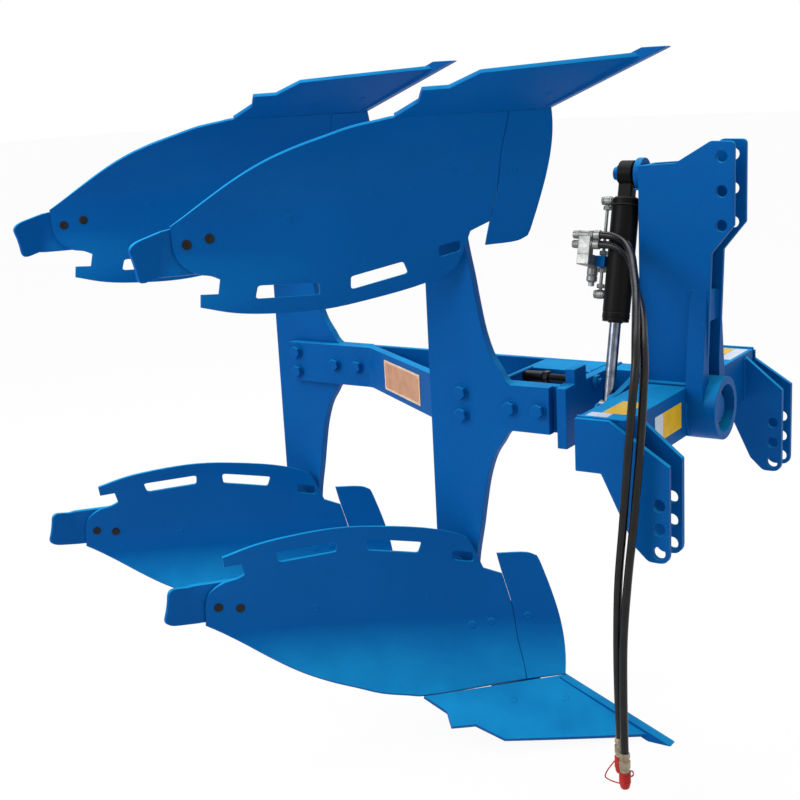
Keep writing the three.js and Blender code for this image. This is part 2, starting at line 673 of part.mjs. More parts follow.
const bendRear = legFront - bodyBack + bendLead;
add("diagonal_beam", cut(
  slabAlongZ(bentBar([[headplateRear - gap, beamFrontNear], [-legRearBack, beamFrontNear],
    [bendRear, beamRearNear], [-legRearBack - bodyBack, beamRearNear]],
  barThickness), -barHalf, barHeight),
  ...legBoltPlaces.flatMap(([place, z]) => [
    holeAlongY(-legRearBack + place, z), holeAlongY(-legRearBack - bodyBack + place, z)])), blue);

const railEnd = legFront - bodyBack + gap;
const crossFront = -crossPlateBack;
const crossRear = crossFront - crossPlateThickness;
const railNear = beamRearFar + gap;
const beamFrontFar = beamFrontNear + barThickness;
add("inner_rail", join(
  block(railEnd, headplateRear - gap, railNear, frameSide, -barHalf, barHalf),
  block(crossRear, crossFront, beamFrontFar + gap, frameSide, -barHalf, barHalf),
  block(crossRear, headplateRear - gap, frameBoxAside, frameSide, -barHalf, barHalf)), blue);

const spindleLength = headplateRear - gap - crossFront - gap;
add("adjuster_spindle", turned([[spindleBarrelDiameter, spindleBarrelLength],
  [spindleDiameter, spindleLength - spindleBarrelLength]], holeSteps)
  .rotateY(Math.PI / 2).translate(crossFront + gap, -spindleAside, spindleHeight), blackPaint);

// Legs: one plate carries the lower and the upper body
function leg() {
  const upper = legShares.map(([a, b]) => [a * armLength - legRearBack, b * legReach]);
  const arm = [[armFootShare * armLength - legRearBack, barHalf], [legFront, barHalf]];
  const half = [[-legRearBack, legReach], ...upper, ...arm];
  const lower = half.map(([x, z]) => [x, -z]).reverse();
  const holes = legBoltPlaces.map(([place, z]) => ({ a: place - legRearBack, b: z, diameter: boltHole }));
  for (const share of footBoltShares) {
    for (const side of [-1, 1]) {
      holes.push({ a: footBoltPlace - legRearBack, b: side * share * legReach, diameter: boltHole });
    }
  }
  return slabAlongY(withHoles(outline([...half, ...lower]), holes), -legAside, legThickness, boltSteps);
}

add("front_leg", leg(), blue);
add("rear_leg", leg().translate(-bodyBack, bodyAside, 0), blue);

// Body surfaces: a point for shares back along and up the wall, and its share of the share blade
function body(back, aside, height) {
  return new THREE.Vector3(-tipBack - back, -wallAside - aside, height - soleDepth);
}

function stationAt(share, key) {
  return stationShares.reduce((sum, station) => {
    const weight = stationShares.reduce((product, other) => (
      other === station ? product : product * (share - other.height) / (station.height - other.height)), 1);
    return sum + station[key] * weight;
  }, 0);
}

function wallPoint(a, b) {
  const aside = stationAt(b, "offset") + stationAt(b, "slope") * a + stationAt(b, "bow") * a * a;
  return body(shinBack + a * wallLength, aside * wallLength, jointHeight + b * wallHeight);
}

function tailPoint(a, b) {
  const middle = (tailUp[0] + tailUp[1]) / 2;
  const lastStep = (tailAcross[1] - tailAcross[0]) / tailAcross[2];
  const ending = Math.min(1, Math.max(0, 1 - (tailAcross[1] - a) / lastStep));
  const level = middle + (b - middle) * (1 - tailCorner * ending);
  const run = Math.max(0, a - tailBend) * wallLength * (1 + tailSlant * (tailUp[1] - level));
  const leaves = wallPoint(Math.min(a, tailBend), level);
  return leaves.addScaledVector(new THREE.Vector3(...tailRun), run);
}

function sharePoint(a, b) {
  const low = new THREE.Vector3(0, shareTipAside, 0).lerp(new THREE.Vector3(...shareWing), a);
  const high = new THREE.Vector3(shareTopBack, shareTopAside, shareHeight)
    .lerp(new THREE.Vector3(...shareHeel, shareHeight), a);
  const place = low.lerp(high, b);
  return body(place.x, place.y, place.z);
}

function surfaceNormal(surface, a, b) {
  const step = 0.001;
  const back = surface(a + step, b).sub(surface(a - step, b));
  const up = surface(a, b + step).sub(surface(a, b - step));
  return up.cross(back).normalize();
}

// A curved slab behind a surface, between two depths, over ranges of shares
function curvedSlab(surface, near, far, [aLow, aHigh, aSteps], [bLow, bHigh, bSteps]) {
  const positions = [];
  const index = [];
  const at = (layer, i, j) => (layer * (aSteps + 1) + i) * (bSteps + 1) + j;
  for (const depth of [near, far]) {
    for (let i = 0; i <= aSteps; i += 1) {
      for (let j = 0; j <= bSteps; j += 1) {
        const a = aLow + (aHigh - aLow) * i / aSteps;
        const b = bLow + (bHigh - bLow) * j / bSteps;
        const point = surface(a, b).addScaledVector(surfaceNormal(surface, a, b), -depth);
        positions.push(...point.toArray());
      }
    }
  }
  const quad = (p, q, r, s) => index.push(p, q, r, p, r, s);
  for (let i = 0; i < aSteps; i += 1) {
    for (let j = 0; j < bSteps; j += 1) {
      quad(at(0, i, j), at(0, i, j + 1), at(0, i + 1, j + 1), at(0, i + 1, j));
      quad(at(1, i, j), at(1, i + 1, j), at(1, i + 1, j + 1), at(1, i, j + 1));
    }
  }
  for (let i = 0; i < aSteps; i += 1) {
    quad(at(0, i, 0), at(0, i + 1, 0), at(1, i + 1, 0), at(1, i, 0));
    quad(at(0, i + 1, bSteps), at(0, i, bSteps), at(1, i, bSteps), at(1, i + 1, bSteps));
  }
  for (let j = 0; j < bSteps; j += 1) {
    quad(at(0, 0, j + 1), at(0, 0, j), at(1, 0, j), at(1, 0, j + 1));
    quad(at(0, aSteps, j), at(0, aSteps, j + 1), at(1, aSteps, j + 1), at(1, aSteps, j));
  }
  const geometry = new THREE.BufferGeometry();
  geometry.setAttribute("position", new THREE.Float32BufferAttribute(positions, 3));
  geometry.setIndex(index);
  return geometry;
}

// Prisms across the body: an outline in shares of the wall, or of the share blade
const prismWidth = 3 * bodyBack;
const wallXZ = ([a, b]) => [-tipBack - shinBack - a * wallLength, jointHeight + b * wallHeight - soleDepth];
const bladeXZ = ([a, b]) => [-tipBack - a * shareLength, b * shareHeight - soleDepth];

function prism(points, slots = []) {
  const shape = outline(points);
  for (const slot of slots) {
    shape.holes.push(new THREE.Path(slot.map(([a, b]) => new THREE.Vector2(a, b))));
  }
  return slabAlongY(shape, -prismWidth / 2, prismWidth);
}

const wallAcross = [-0.06, 1.16, 8];
const wallUp = [-0.06, 1.05, 5];
const bladeAcross = [-0.12, 1.2, 3];
const bladeUp = [-0.12, 1, 2];
const boardBack = boardThickness + gap;
const shareBack = shareThickness + gap;

function boltAxis(surface, [a, b]) {
  return { point: surface(a, b), normal: surfaceNormal(surface, a, b) };
}

function boltHoleCut({ point, normal }) {
  const start = point.clone().addScaledVector(normal, -overrun);
  return aimed(turned([[plowBolt + 2 * gap, 2 * overrun]], boltSteps), start, normal);
}

const tailBolts = tailBoltShares.map((share) => boltAxis(wallPoint, share));
const centreBolt = boltAxis(wallPoint, centreBoltShare);
const frogBolts = frogBoltShares.map((share) => boltAxis(wallPoint, share));
const shinBolt = boltAxis(wallPoint, shinBoltShare);
const shareBolts = shareBoltShares.map((share) => boltAxis(sharePoint, share));
const holeCuts = (bolts) => bolts.map(boltHoleCut);
const lean = 1.5 * gap / wallLength; // keeps the shin off the mouldboard along their joint
const mouldboard = cut(keep(curvedSlab(wallPoint, 0, boardThickness, wallAcross, wallUp),
  prism([...jointShares, ...boardShares].map(wallXZ), slotShares.map((slot) => slot.map(wallXZ)))),
...holeCuts([...tailBolts, centreBolt, ...frogBolts]));

const shinOutline = [...shinTopShares, ...jointShares.map(([a, b]) => [a - lean, b])];
const shin = cut(keep(curvedSlab(wallPoint, 0, boardThickness, wallAcross, wallUp),
  prism(shinOutline.map(wallXZ))), ...holeCuts([shinBolt]));

// The share's blade, with its point: a bar along the landside edge, sharpened on the sole
const pointSlope = Math.atan2(shareHeight, shareTopBack);
const pointFoot = pointThickness / Math.sin(pointSlope);
const pointDrop = [pointThickness * Math.sin(pointSlope), pointThickness * Math.cos(pointSlope)];
const bodyXZ = ([back, height]) => [-tipBack - back, height - soleDepth];
const landsideFace = -wallAside + landsideOut;
const pointInner = landsideFace - pointWidth;
const pointBar = slabAlongY(outline([[shareTopBack, shareHeight - gap], [0, 0], [pointFoot, 0],
  [shareTopBack + pointDrop[0], shareHeight - pointDrop[1]]].map(bodyXZ)), pointInner, pointWidth);
const blade = keep(curvedSlab(sharePoint, 0, shareThickness, bladeAcross, bladeUp),
  prism(shareOutlineShares.map(bladeXZ)));
const share = cut(join(blade, pointBar), ...holeCuts(shareBolts));
const clearOfPoint = block(-2 * bodyBack, 0, pointInner - gap, 0, -2 * soleDepth, 0);

const landsideSlope = Math.tan(pointSlope);
const landside = slabAlongY(outline([
  [pointFoot + (landsideFoot[0] + 2 * gap) / landsideSlope, landsideFoot[0]],
  [pointFoot + (landsideHeight + 2 * gap) / landsideSlope, landsideHeight],
  [landsideRear, landsideHeight], [landsideRear, landsideFoot[1]]].map(bodyXZ)),
landsideFace - landsideThickness, landsideThickness);

// The frog: web behind the leg, curved backing for mouldboard and shin, seat for the share
const inFrontOfWall = curvedSlab(wallPoint, -3 * overrun, boardBack, wallAcross, wallUp);
const inFrontOfShare = curvedSlab(sharePoint, -3 * overrun, shareBack, bladeAcross, [-0.12, 1.05, 2]);
const webFace = beamFrontNear;
const web = cut(slabAlongY(outline(webShares.map(([a, b]) => bodyXZ([a * webReach, b * wallHeight]))),
  webFace, webThickness),
inFrontOfWall, inFrontOfShare, ...footBoltShares.map((share) => (
  holeAlongY(footBoltPlace - legRearBack, -share * legReach))));
const backing = cut(keep(curvedSlab(wallPoint, boardBack, boardBack + backingThickness, wallAcross, wallUp),
  prism(backingShares.map(wallXZ))), inFrontOfShare);
const seat = cut(keep(curvedSlab(sharePoint, shareBack, shareBack + backingThickness, bladeAcross, bladeUp),
  prism(seatShares.map(bladeXZ))), inFrontOfWall, clearOfPoint);
const frogBlock = block(-tipBack - blockShares[1] * webReach, -tipBack - blockShares[0] * webReach,
  webFace + webThickness - overrun / 8, landsideFace - landsideThickness - gap,
  frogBlockFoot - soleDepth, frogBlockTop - soleDepth);

const tail = cut(curvedSlab(tailPoint, boardBack, boardBack + tailThickness, tailAcross, tailUp),
  ...holeCuts(tailBolts));

// The stay: a bar from the web out to a pad behind the mouldboard's centre bolt
const stayHead = wallPoint(...stayBoardShare);
const stayFoot = new THREE.Vector3(-tipBack - stayFootBack, webFace + webThickness / 2,
  stayFootHeight - soleDepth);
const stayBar = new THREE.BoxGeometry(stayThickness, stayWidth, stayHead.distanceTo(stayFoot));
stayBar.applyMatrix4(new THREE.Matrix4().lookAt(stayHead, stayFoot, new THREE.Vector3(0, 0, 1)));
stayBar.translate(...stayHead.clone().add(stayFoot).divideScalar(2).toArray());
const stayPad = keep(curvedSlab(wallPoint, boardBack, boardBack + stayThickness, wallAcross, wallUp),
  prism(padShares.map(wallXZ)));
const frog = cut(join(web, backing, seat, frogBlock, cut(stayBar, inFrontOfWall), stayPad),
  ...holeCuts([centreBolt, ...frogBolts, shinBolt, ...shareBolts]));

const bodyPieces = { mouldboard, shin, share, landside, frog, tail_piece: tail };
for (const [row, back, aside] of [["front", 0, 0], ["rear", -bodyBack, bodyAside]]) {
  for (const [level, shape] of [["lower", (piece) => piece.clone()], ["upper", mirrored]]) {
    for (const [word, piece] of Object.entries(bodyPieces)) {
      add(`${word}_${row}_${level}`, shape(piece).translate(back, aside, 0), blue);
    }
  }
}

// The plough stands on its soles, and its own box, without the hoses, is centred over the origin.
plough.updateMatrixWorld(true);
const standing = new THREE.Box3();
plough.traverse((piece) => {
  if (piece.isMesh && !/hose_near|hose_far|coupler|dust/.test(piece.name)) {
    standing.expandByObject(piece, true);
  }
});
const middle = standing.getCenter(new THREE.Vector3());
plough.position.set(-middle.x, -middle.y, -standing.min.z);

export default plough;
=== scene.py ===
import math

import bmesh
import bpy
from mathutils import Matrix, Vector
from mathutils.geometry import delaunay_2d_cdt


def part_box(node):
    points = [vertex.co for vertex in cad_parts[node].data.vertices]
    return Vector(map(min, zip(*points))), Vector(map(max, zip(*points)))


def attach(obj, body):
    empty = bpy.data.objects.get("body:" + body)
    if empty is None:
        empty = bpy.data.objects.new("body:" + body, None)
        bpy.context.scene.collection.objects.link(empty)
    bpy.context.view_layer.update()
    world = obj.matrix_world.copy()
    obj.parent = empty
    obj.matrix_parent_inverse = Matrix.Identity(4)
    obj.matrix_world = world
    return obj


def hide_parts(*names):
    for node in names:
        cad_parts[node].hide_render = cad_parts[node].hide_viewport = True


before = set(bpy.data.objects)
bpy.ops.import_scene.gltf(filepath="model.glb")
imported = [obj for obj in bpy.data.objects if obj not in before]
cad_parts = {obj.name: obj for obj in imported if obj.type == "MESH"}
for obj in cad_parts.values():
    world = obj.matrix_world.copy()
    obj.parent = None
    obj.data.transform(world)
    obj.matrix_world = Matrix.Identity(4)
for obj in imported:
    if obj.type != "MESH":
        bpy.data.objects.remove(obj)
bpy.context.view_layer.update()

# Everything below is in millimetres about the turnover axis, with x = 0 at the lower link holes
perMetre = 1000
hub = {"back": -205, "length": 201, "outside": 74, "bore": 56, "round": 2,
       "bushes": {"rear": -205, "front": -100}, "bushOutside": 55.7, "bushBore": 46.4, "bushLength": 45}
hubLow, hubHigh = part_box("hub_housing")
rowShift = Vector((hubLow.x - hub["back"] / perMetre, (hubLow.y + hubHigh.y) / 2, (hubLow.z + hubHigh.z) / 2))
toFront, toRear, toRight, toLeft, toGround = (1, 0, 0), (-1, 0, 0), (0, -1, 0), (0, 1, 0), (0, 0, -1)


def spot(point):
    return Vector(point) / perMetre + rowShift


# The camera stands where the photograph was taken from, with its turns in degrees
shot = {"azimuth": 33.651, "pitch": 13.347, "roll": -3.02, "lens": 60.8, "sensor": 36, "farthest": 100,
        "place": (1050, -2944, 780)}
azimuth, pitch, roll = (math.radians(shot[turn]) for turn in ("azimuth", "pitch", "roll"))
ahead = Vector((-math.sin(azimuth) * math.cos(pitch), math.cos(azimuth) * math.cos(pitch), -math.sin(pitch)))
levelRight = Vector((math.cos(azimuth), math.sin(azimuth), 0))
levelUp = levelRight.cross(ahead)
right = levelRight * math.cos(roll) + levelUp * math.sin(roll)
up = levelUp * math.cos(roll) - levelRight * math.sin(roll)
cameraData = bpy.data.cameras.new("camera")
cameraData.sensor_width = shot["sensor"]
cameraData.lens = shot["lens"]
cameraData.clip_end = shot["farthest"]
camera = bpy.data.objects.new("camera", cameraData)
bpy.context.collection.objects.link(camera)
facingPlough = Matrix((right, up, -ahead)).transposed().to_4x4()
camera.matrix_world = Matrix.Translation(spot(shot["place"])) @ facingPlough
bpy.context.scene.camera = camera
print("camera set")


# Materials
class Link:  # one output of a node, so that sums can be written as Python
    def __init__(self, coat, socket):
        self.coat = coat
        self.socket = socket

    def sum(self, operation, first, second):
        return self.coat.node("ShaderNodeMath", {"operation": operation}, {0: first, 1: second})

    def __add__(self, other):
        return self.sum("ADD", self, other)

    def __radd__(self, other):
        return self.sum("ADD", other, self)

    def __sub__(self, other):
        return self.sum("SUBTRACT", self, other)

    def __rsub__(self, other):
        return self.sum("SUBTRACT", other, self)

    def __mul__(self, other):
        return self.sum("MULTIPLY", self, other)

    def __rmul__(self, other):
        return self.sum("MULTIPLY", other, self)


def linear(*colour):  # from the 0 to 255 of a picture to the 0 to 1 of light
    shares = [c / 255 for c in colour]
    return tuple(c / 12.92 if c < 0.043 else ((c + 0.055) / 1.055) ** 2.4 for c in shares) + (1,)


class Coat:  # one material and its nodes
    def __init__(self, name, **settings):
        self.material = bpy.data.materials.new(name)
        self.material.use_nodes = True
        self.tree = self.material.node_tree
        self.surface = self.tree.nodes["Principled BSDF"]
        for socket, value in settings.items():
            self.surface.inputs[socket.replace("_", " ")].default_value = value

    def node(self, kind, settings=None, sockets=None, output=0):
        made = self.tree.nodes.new(kind)
        for key, value in (settings or {}).items():
            setattr(made, key, value)
        for key, value in (sockets or {}).items():
            self.feed(made.inputs[key], value)
        return Link(self, made.outputs[output])

    def feed(self, socket, value):
        if isinstance(value, Link):
            self.tree.links.new(value.socket, socket)
        else:
            socket.default_value = value

    def place(self, stretch):
        where = self.node("ShaderNodeTexCoord", output="Object")
        return self.node("ShaderNodeVectorMath", {"operation": "MULTIPLY"}, {0: where, 1: stretch})

    def noise(self, scale, detail, stretch=(1, 1, 1)):
        return self.node("ShaderNodeTexNoise", sockets={
            "Vector": self.place(stretch), "Scale": scale, "Detail": detail})

    def ramp(self, value, low, high):
        return self.node("ShaderNodeMapRange", sockets={"Value": value, "From Min": low, "From Max": high})

    def blend(self, amount, first, second):
        return self.node("ShaderNodeMix", {"data_type": "RGBA"}, {
            "Factor": amount, 6: first, 7: second}, output=2)

    def finish(self, colour, roughness, bump, strength, distance):
        self.feed(self.surface.inputs["Base Color"], colour)
        self.feed(self.surface.inputs["Roughness"], roughness)
        self.feed(self.surface.inputs["Normal"], self.node("ShaderNodeBump", sockets={
            "Strength": strength, "Distance": distance, "Height": bump}))
        return self.material


# A noise is given as its scale and detail, and a band as the values that become 0 and 1
enamelLook = {"shine": 0.04, "clearCoat": 0.015, "coatRoughness": 0.2,
              "cloud": (2.3, 3), "cloudBand": (0.3, 0.7), "cloudRoughness": 0.08, "upBand": (0.2, 0.8),
              "dust": (9, 5), "dustBand": (0.3, 0.75), "leastDustAndSheen": 0.5, "moreDustAndSheen": 0.4, "dustRoughness": 0.5,
              "specks": (160, 2), "speckBand": (0.66, 0.74), "speckDust": 0.12,
              "peel": (240, 2), "peelStrength": 0.12, "peelDepth": 0.0004}


def enamel(name, paint, shade, dust, roughness):
    look = enamelLook
    coat = Coat(name, Coat_Weight=look["clearCoat"], Coat_Roughness=look["coatRoughness"],
                Specular_IOR_Level=look["shine"])
    cloud = coat.noise(*look["cloud"])
    normal = coat.node("ShaderNodeNewGeometry", output="Normal")
    # Faces that point up grow lighter in noisy patches: a painted sheen of the sky on the tops, mixed with some
    # dust
    upwards = coat.ramp(coat.node("ShaderNodeSeparateXYZ", sockets={0: normal}, output="Z"), *look["upBand"])
    dustAndSheenPatches = coat.ramp(coat.noise(*look["dust"]), *look["dustBand"]) * look["moreDustAndSheen"] + look["leastDustAndSheen"]
    film = upwards * dustAndSheenPatches
    speck = coat.ramp(coat.noise(*look["specks"]), *look["speckBand"]) * look["speckDust"]
    colour = coat.blend(coat.ramp(cloud, *look["cloudBand"]), linear(*paint), linear(*shade))
    # The specks are dust; film and specks blend towards the third colour, the painted sheen with dust
    colour = coat.blend(film + speck, colour, linear(*dust))
    roughness = roughness + film * look["dustRoughness"] + cloud * look["cloudRoughness"]
    return coat.finish(colour, roughness, coat.noise(*look["peel"]), look["peelStrength"], look["peelDepth"])


# The third colour of each enamel is the painted sheen of faces that point up, with dust mixed in
blueEnamel = enamel("blueEnamel", (0, 84, 153), (0, 77, 145), (24, 154, 214), 0.36)
blackEnamel = enamel("blackEnamel", (13, 13, 13), (19, 19, 19), (60, 60, 60), 0.34)

platedLook = {"shine": 0.3, "tarnish": (45, 4), "tarnishBand": (0.35, 0.7), "tarnishRoughness": 0.16,
              "scratches": (900, 1, (1, 1, 0.06)), "strength": 0.08, "depth": 0.0003}


def plated(name, bright, dull, roughness, metallic):
    look = platedLook
    coat = Coat(name, Metallic=metallic, Specular_IOR_Level=look["shine"])
    tarnish = coat.ramp(coat.noise(*look["tarnish"]), *look["tarnishBand"])
    scratch = coat.noise(*look["scratches"])
    colour = coat.blend(tarnish, linear(*bright), linear(*dull))
    roughness = roughness + tarnish * look["tarnishRoughness"]
    return coat.finish(colour, roughness, scratch, look["strength"], look["depth"])


zincPlate = plated("zincPlate", (142, 144, 142), (108, 110, 108), 0.36, 0.75)
hardChrome = plated("hardChrome", (112, 118, 130), (80, 86, 99), 0.12, 1)
couplerZinc = plated("couplerZinc", (160, 149, 128), (128, 116, 96), 0.34, 0.6)
bearingBronze = plated("bearingBronze", (170, 128, 70), (134, 98, 52), 0.35, 0.9)
blackOxide = plated("blackOxide", (34, 33, 34), (22, 21, 22), 0.38, 0.6)
threadOil = plated("threadOil", (24, 24, 26), (15, 15, 17), 0.3, 0.5)

plainLook = {"shine": 0.25, "patches": (30, 4), "patchBand": (0.4, 0.75), "patchRoughness": 0.12,
             "depth": 0.0006}


def plain(name, colour, worn, roughness, grain, strength):
    look = plainLook
    coat = Coat(name, Specular_IOR_Level=look["shine"])
    patch = coat.ramp(coat.noise(*look["patches"]), *look["patchBand"])
    mixed = coat.blend(patch, linear(*colour), linear(*worn))
    roughness = roughness + patch * look["patchRoughness"]
    return coat.finish(mixed, roughness, coat.noise(grain, 3), strength, look["depth"])


capPlastic = plain("capPlastic", (182, 24, 16), (142, 20, 14), 0.4, 400, 0.15)
hoseRubber = plain("hoseRubber", (9, 9, 9), (22, 21, 21), 0.26, 700, 0.3)
copperPlate = plain("copperPlate", (190, 138, 104), (172, 122, 92), 0.34, 500, 0.1)
copperBorder = plain("copperBorder", (214, 190, 160), (198, 172, 142), 0.34, 500, 0.1)
yellowFilm = plain("yellowFilm", (216, 174, 8), (204, 163, 10), 0.4, 300, 0.05)
whiteFilm = plain("whiteFilm", (198, 206, 222), (184, 194, 212), 0.4, 300, 0.05)
print("materials made")


# Outlines
def cornerArc(corner, before, after, reach, steps):  # from one edge round the corner to the next
    start = corner + before.normalized() * reach
    end = corner + after.normalized() * reach
    return [start * (1 - t) ** 2 + corner * 2 * t * (1 - t) + end * t * t
            for t in (step / steps for step in range(steps + 1))]


def rounded(points, steps=5):  # a point's third number is its corner's radius
    longest = 0.49  # the part of an edge that one corner may take
    path = []
    for i, point in enumerate(points):
        corner = Vector(point[:2])
        radius = point[2] if len(point) > 2 else 0
        if not radius:
            path.append(corner)
            continue
        before = Vector(points[i - 1][:2]) - corner
        after = Vector(points[(i + 1) % len(points)][:2]) - corner
        reach = radius / math.tan(before.angle(after) / 2)
        reach = min(reach, before.length * longest, after.length * longest)
        path += cornerArc(corner, before, after, reach, steps)
    return path


def rectangle(left, low, far, high, corner, steps=5):
    corners = [(left, low), (far, low), (far, high), (left, high)]
    return rounded([(*point, corner) for point in corners], steps)


def arc(radius, first, last, step=6):  # in degrees, without the last
    turns = [math.radians(angle) for angle in range(first, last, step)]
    return [(radius * math.cos(t), radius * math.sin(t)) for t in turns]


def circle(radius, u=0, v=0, steps=32):
    turns = [2 * math.pi * i / steps for i in range(steps)]
    return [Vector((u + radius * math.cos(t), v + radius * math.sin(t))) for t in turns]


def smoothLine(points, steps):  # an even curve through the points
    knots = [Vector(point) for point in points]
    knots = [2 * knots[0] - knots[1]] + knots + [2 * knots[-1] - knots[-2]]
    line = []
    for p, q, r, s in zip(knots, knots[1:], knots[2:], knots[3:]):
        a, b, c = (q - p).length ** 0.5, (r - q).length ** 0.5, (s - r).length ** 0.5
        leave = ((q - p) / a - (r - p) / (a + b) + (r - q) / b) * b
        reach = ((r - q) / b - (s - q) / (b + c) + (s - r) / c) * b
        for step in range(steps):
            t = step / steps
            line.append(q * (2 * t ** 3 - 3 * t * t + 1) + leave * (t ** 3 - 2 * t * t + t)
                        + r * (3 * t * t - 2 * t ** 3) + reach * (t ** 3 - t * t))
    return line + [knots[-2]]


def softLoop(points, sharp, steps=4):  # curves through the gentle corners and keeps the sharp ones
    corners = [Vector(point[:2]) for point in points]
    count = len(corners)
    hard = []
    for i, corner in enumerate(corners):
        turn = (corner - corners[i - 1]).angle(corners[(i + 1) % count] - corner)
        if math.degrees(turn) > sharp:
            hard.append(i)
    loop = []
    for first, last in zip(hard, hard[1:] + [hard[0] + count]):
        span = [corners[i % count] for i in range(first, last + 1)]
        loop += (smoothLine(span, steps) if len(span) > 2 else span)[:-1]
    return loop


def divided(loop, spacing):
    path = []
    for start, end in zip(loop, loop[1:] + loop[:1]):
        count = max(1, round((end - start).length / spacing))
        path += [start.lerp(end, i / count) for i in range(count)]
    return path


def turnedTo(loop, anticlockwise):
    area = sum(a.x * b.y - a.y * b.x for a, b in zip(loop, loop[1:] + loop[:1]))
    return loop if (area > 0) == anticlockwise else loop[::-1]


def insetLoop(loop, by):
    drawn = []
    for i, point in enumerate(loop):
        first = (point - loop[i - 1]).normalized()
        second = (loop[(i + 1) % len(loop)] - point).normalized()
        inward = Vector((-first.y - second.y, first.x + second.x))
        drawn.append(point + inward * by / max(0.5, 1 + first.dot(second)))
    return drawn


def folds(loop, by):  # true where a corner is tighter than the inset
    drawn = insetLoop(loop, by)
    return any((b - a).dot(d - c) <= 0 for a, b, c, d in
               zip(drawn, drawn[1:] + drawn[:1], loop, loop[1:] + loop[:1]))


def holds(loop, point):
    inside = False
    for a, b in zip(loop, loop[1:] + loop[:1]):
        crosses = (a.y > point.y) != (b.y > point.y)
        if crosses and point.x < a.x + (b.x - a.x) * (point.y - a.y) / (b.y - a.y):
            inside = not inside
    return inside


def onFace(loops, point):  # inside the outline and in none of its holes
    return holds(loops[0], point) and not any(holds(hole, point) for hole in loops[1:])


def gridWithin(loops, spacing):  # points over the face, clear of its edges
    clear = spacing * 0.55
    corners = [point for loop in loops for point in loop]
    columns = range(int(min(p.x for p in corners) / spacing), int(max(p.x for p in corners) / spacing) + 1)
    rows = range(int(min(p.y for p in corners) / spacing) - 1, int(max(p.y for p in corners) / spacing) + 1)
    grid = [Vector((i * spacing, j * spacing)) for i in columns for j in rows]
    return [point for point in grid if onFace(loops, point)
            and min((point - other).length_squared for other in corners) > clear ** 2]


# Meshes: a plate of any outline, flat or curved, with rounded edges, and turned pieces
def plate(outer, place, depth, edge=1.2, holes=(), spacing=None):
    shoulder = 0.3  # how deep the middle ring of a rounded edge lies, as a share of the edge
    loops = [turnedTo([Vector(p[:2]) for p in outer], True)]
    loops += [turnedTo([Vector(p[:2]) for p in hole], False) for hole in holes]
    if spacing:
        loops = [divided(loop, spacing) for loop in loops]
    while any(folds(loop, edge) for loop in loops):
        edge *= 0.85
    rims = [(edge, 0), (edge * shoulder, edge * shoulder), (0, edge),
            (0, depth - edge), (edge * shoulder, depth - edge * shoulder), (edge, depth)]
    flat = [insetLoop(loop, edge) for loop in loops]
    corners = [point for loop in flat for point in loop]
    count = len(corners)
    lastRim = count * (len(rims) - 1)
    within = gridWithin(flat, spacing) if spacing else []
    ties = []
    start = 0
    for loop in flat:
        ties += [(start + i, start + (i + 1) % len(loop)) for i in range(len(loop))]
        start += len(loop)
    made, _, triangles, origin, _, _ = delaunay_2d_cdt(corners + within, ties, [], 0, 1e-5)
    names = [sources[0] if sources else None for sources in origin]
    verts = []
    for inset, w in rims:
        for loop in loops:
            verts += [place(p.x, p.y, w) for p in (insetLoop(loop, inset) if inset else loop)]
    verts += [place(p.x, p.y, 0) for p in within] + [place(p.x, p.y, depth) for p in within]

    def nearSide(i):
        return i if i < count else lastRim + i

    def farSide(i):
        return lastRim + i if i < count else lastRim + len(within) + i

    faces = []
    for triangle in triangles:
        middle = sum((made[i] for i in triangle), Vector((0, 0))) / 3
        if None not in [names[i] for i in triangle] and onFace(flat, middle):
            faces.append([nearSide(names[i]) for i in triangle])
            faces.append([farSide(names[i]) for i in reversed(triangle)])
    start = 0
    for loop in loops:
        for rim in range(len(rims) - 1):
            for i in range(len(loop)):
                a = rim * count + start + i
                b = rim * count + start + (i + 1) % len(loop)
                faces.append([b, a, a + count, b + count])
        start += len(loop)
    return verts, faces


def along(origin, direction, roll=(0, 0, 1)):
    forward = Vector(direction).normalized()
    across = forward.cross(Vector(roll))
    across = across.normalized() if across.length > 1e-4 else Vector(toFront)
    over = forward.cross(across)
    origin = Vector(origin)
    return lambda u, v, w: origin + across * u + over * v + forward * w


def overY(y):
    return lambda u, v, w: Vector((u, y + w, v))


def overX(x):
    return lambda u, v, w: Vector((x + w, u, v))


def overZ(z):
    return lambda u, v, w: Vector((u, v, z + w))


def box(low, high, corner=2):
    edge = min(corner * 0.7, 2)  # of the top and the bottom
    return plate(rectangle(*low[:2], *high[:2], corner, 4), overZ(low[2]), high[2] - low[2], edge)


def turning(profile, place, steps=48, soft=1):  # profile: radius and height from the axis out and back
    ends = (0, len(profile) - 1)
    line = rounded([(r, h, soft if r and i not in ends else 0) for i, (r, h) in enumerate(profile)], 2)
    line = [p for i, p in enumerate(line) if i == 0 or (p - line[i - 1]).length > 1e-4]
    verts, faces, rings = [], [], []
    for p in line:
        if p.x < 1e-4:
            rings.append([len(verts)])
            verts.append(place(0, 0, p.y))
        else:
            rings.append(list(range(len(verts), len(verts) + steps)))
            verts += [place(q.x, q.y, p.y) for q in circle(p.x, steps=steps)]
    pairs = list(zip(rings, rings[1:]))
    if len(rings[0]) > 1:  # a ring, closed on itself
        pairs.append((rings[-1], rings[0]))
    for first, second in pairs:
        for i in range(steps):
            j = (i + 1) % steps
            face = [first[i % len(first)], first[j % len(first)],
                    second[j % len(second)], second[i % len(second)]]
            faces.append(list(dict.fromkeys(face)))
    return verts, [face for face in faces if len(face) > 2]


def disc(radius, height, place, soft=1, steps=40):
    return turning([(0, 0), (radius, 0), (radius, height), (0, height)], place, steps, soft)


def ring(outside, inside, height, place, soft=1, steps=48):
    return turning([(inside, 0), (outside, 0), (outside, height), (inside, height)], place, steps, soft)


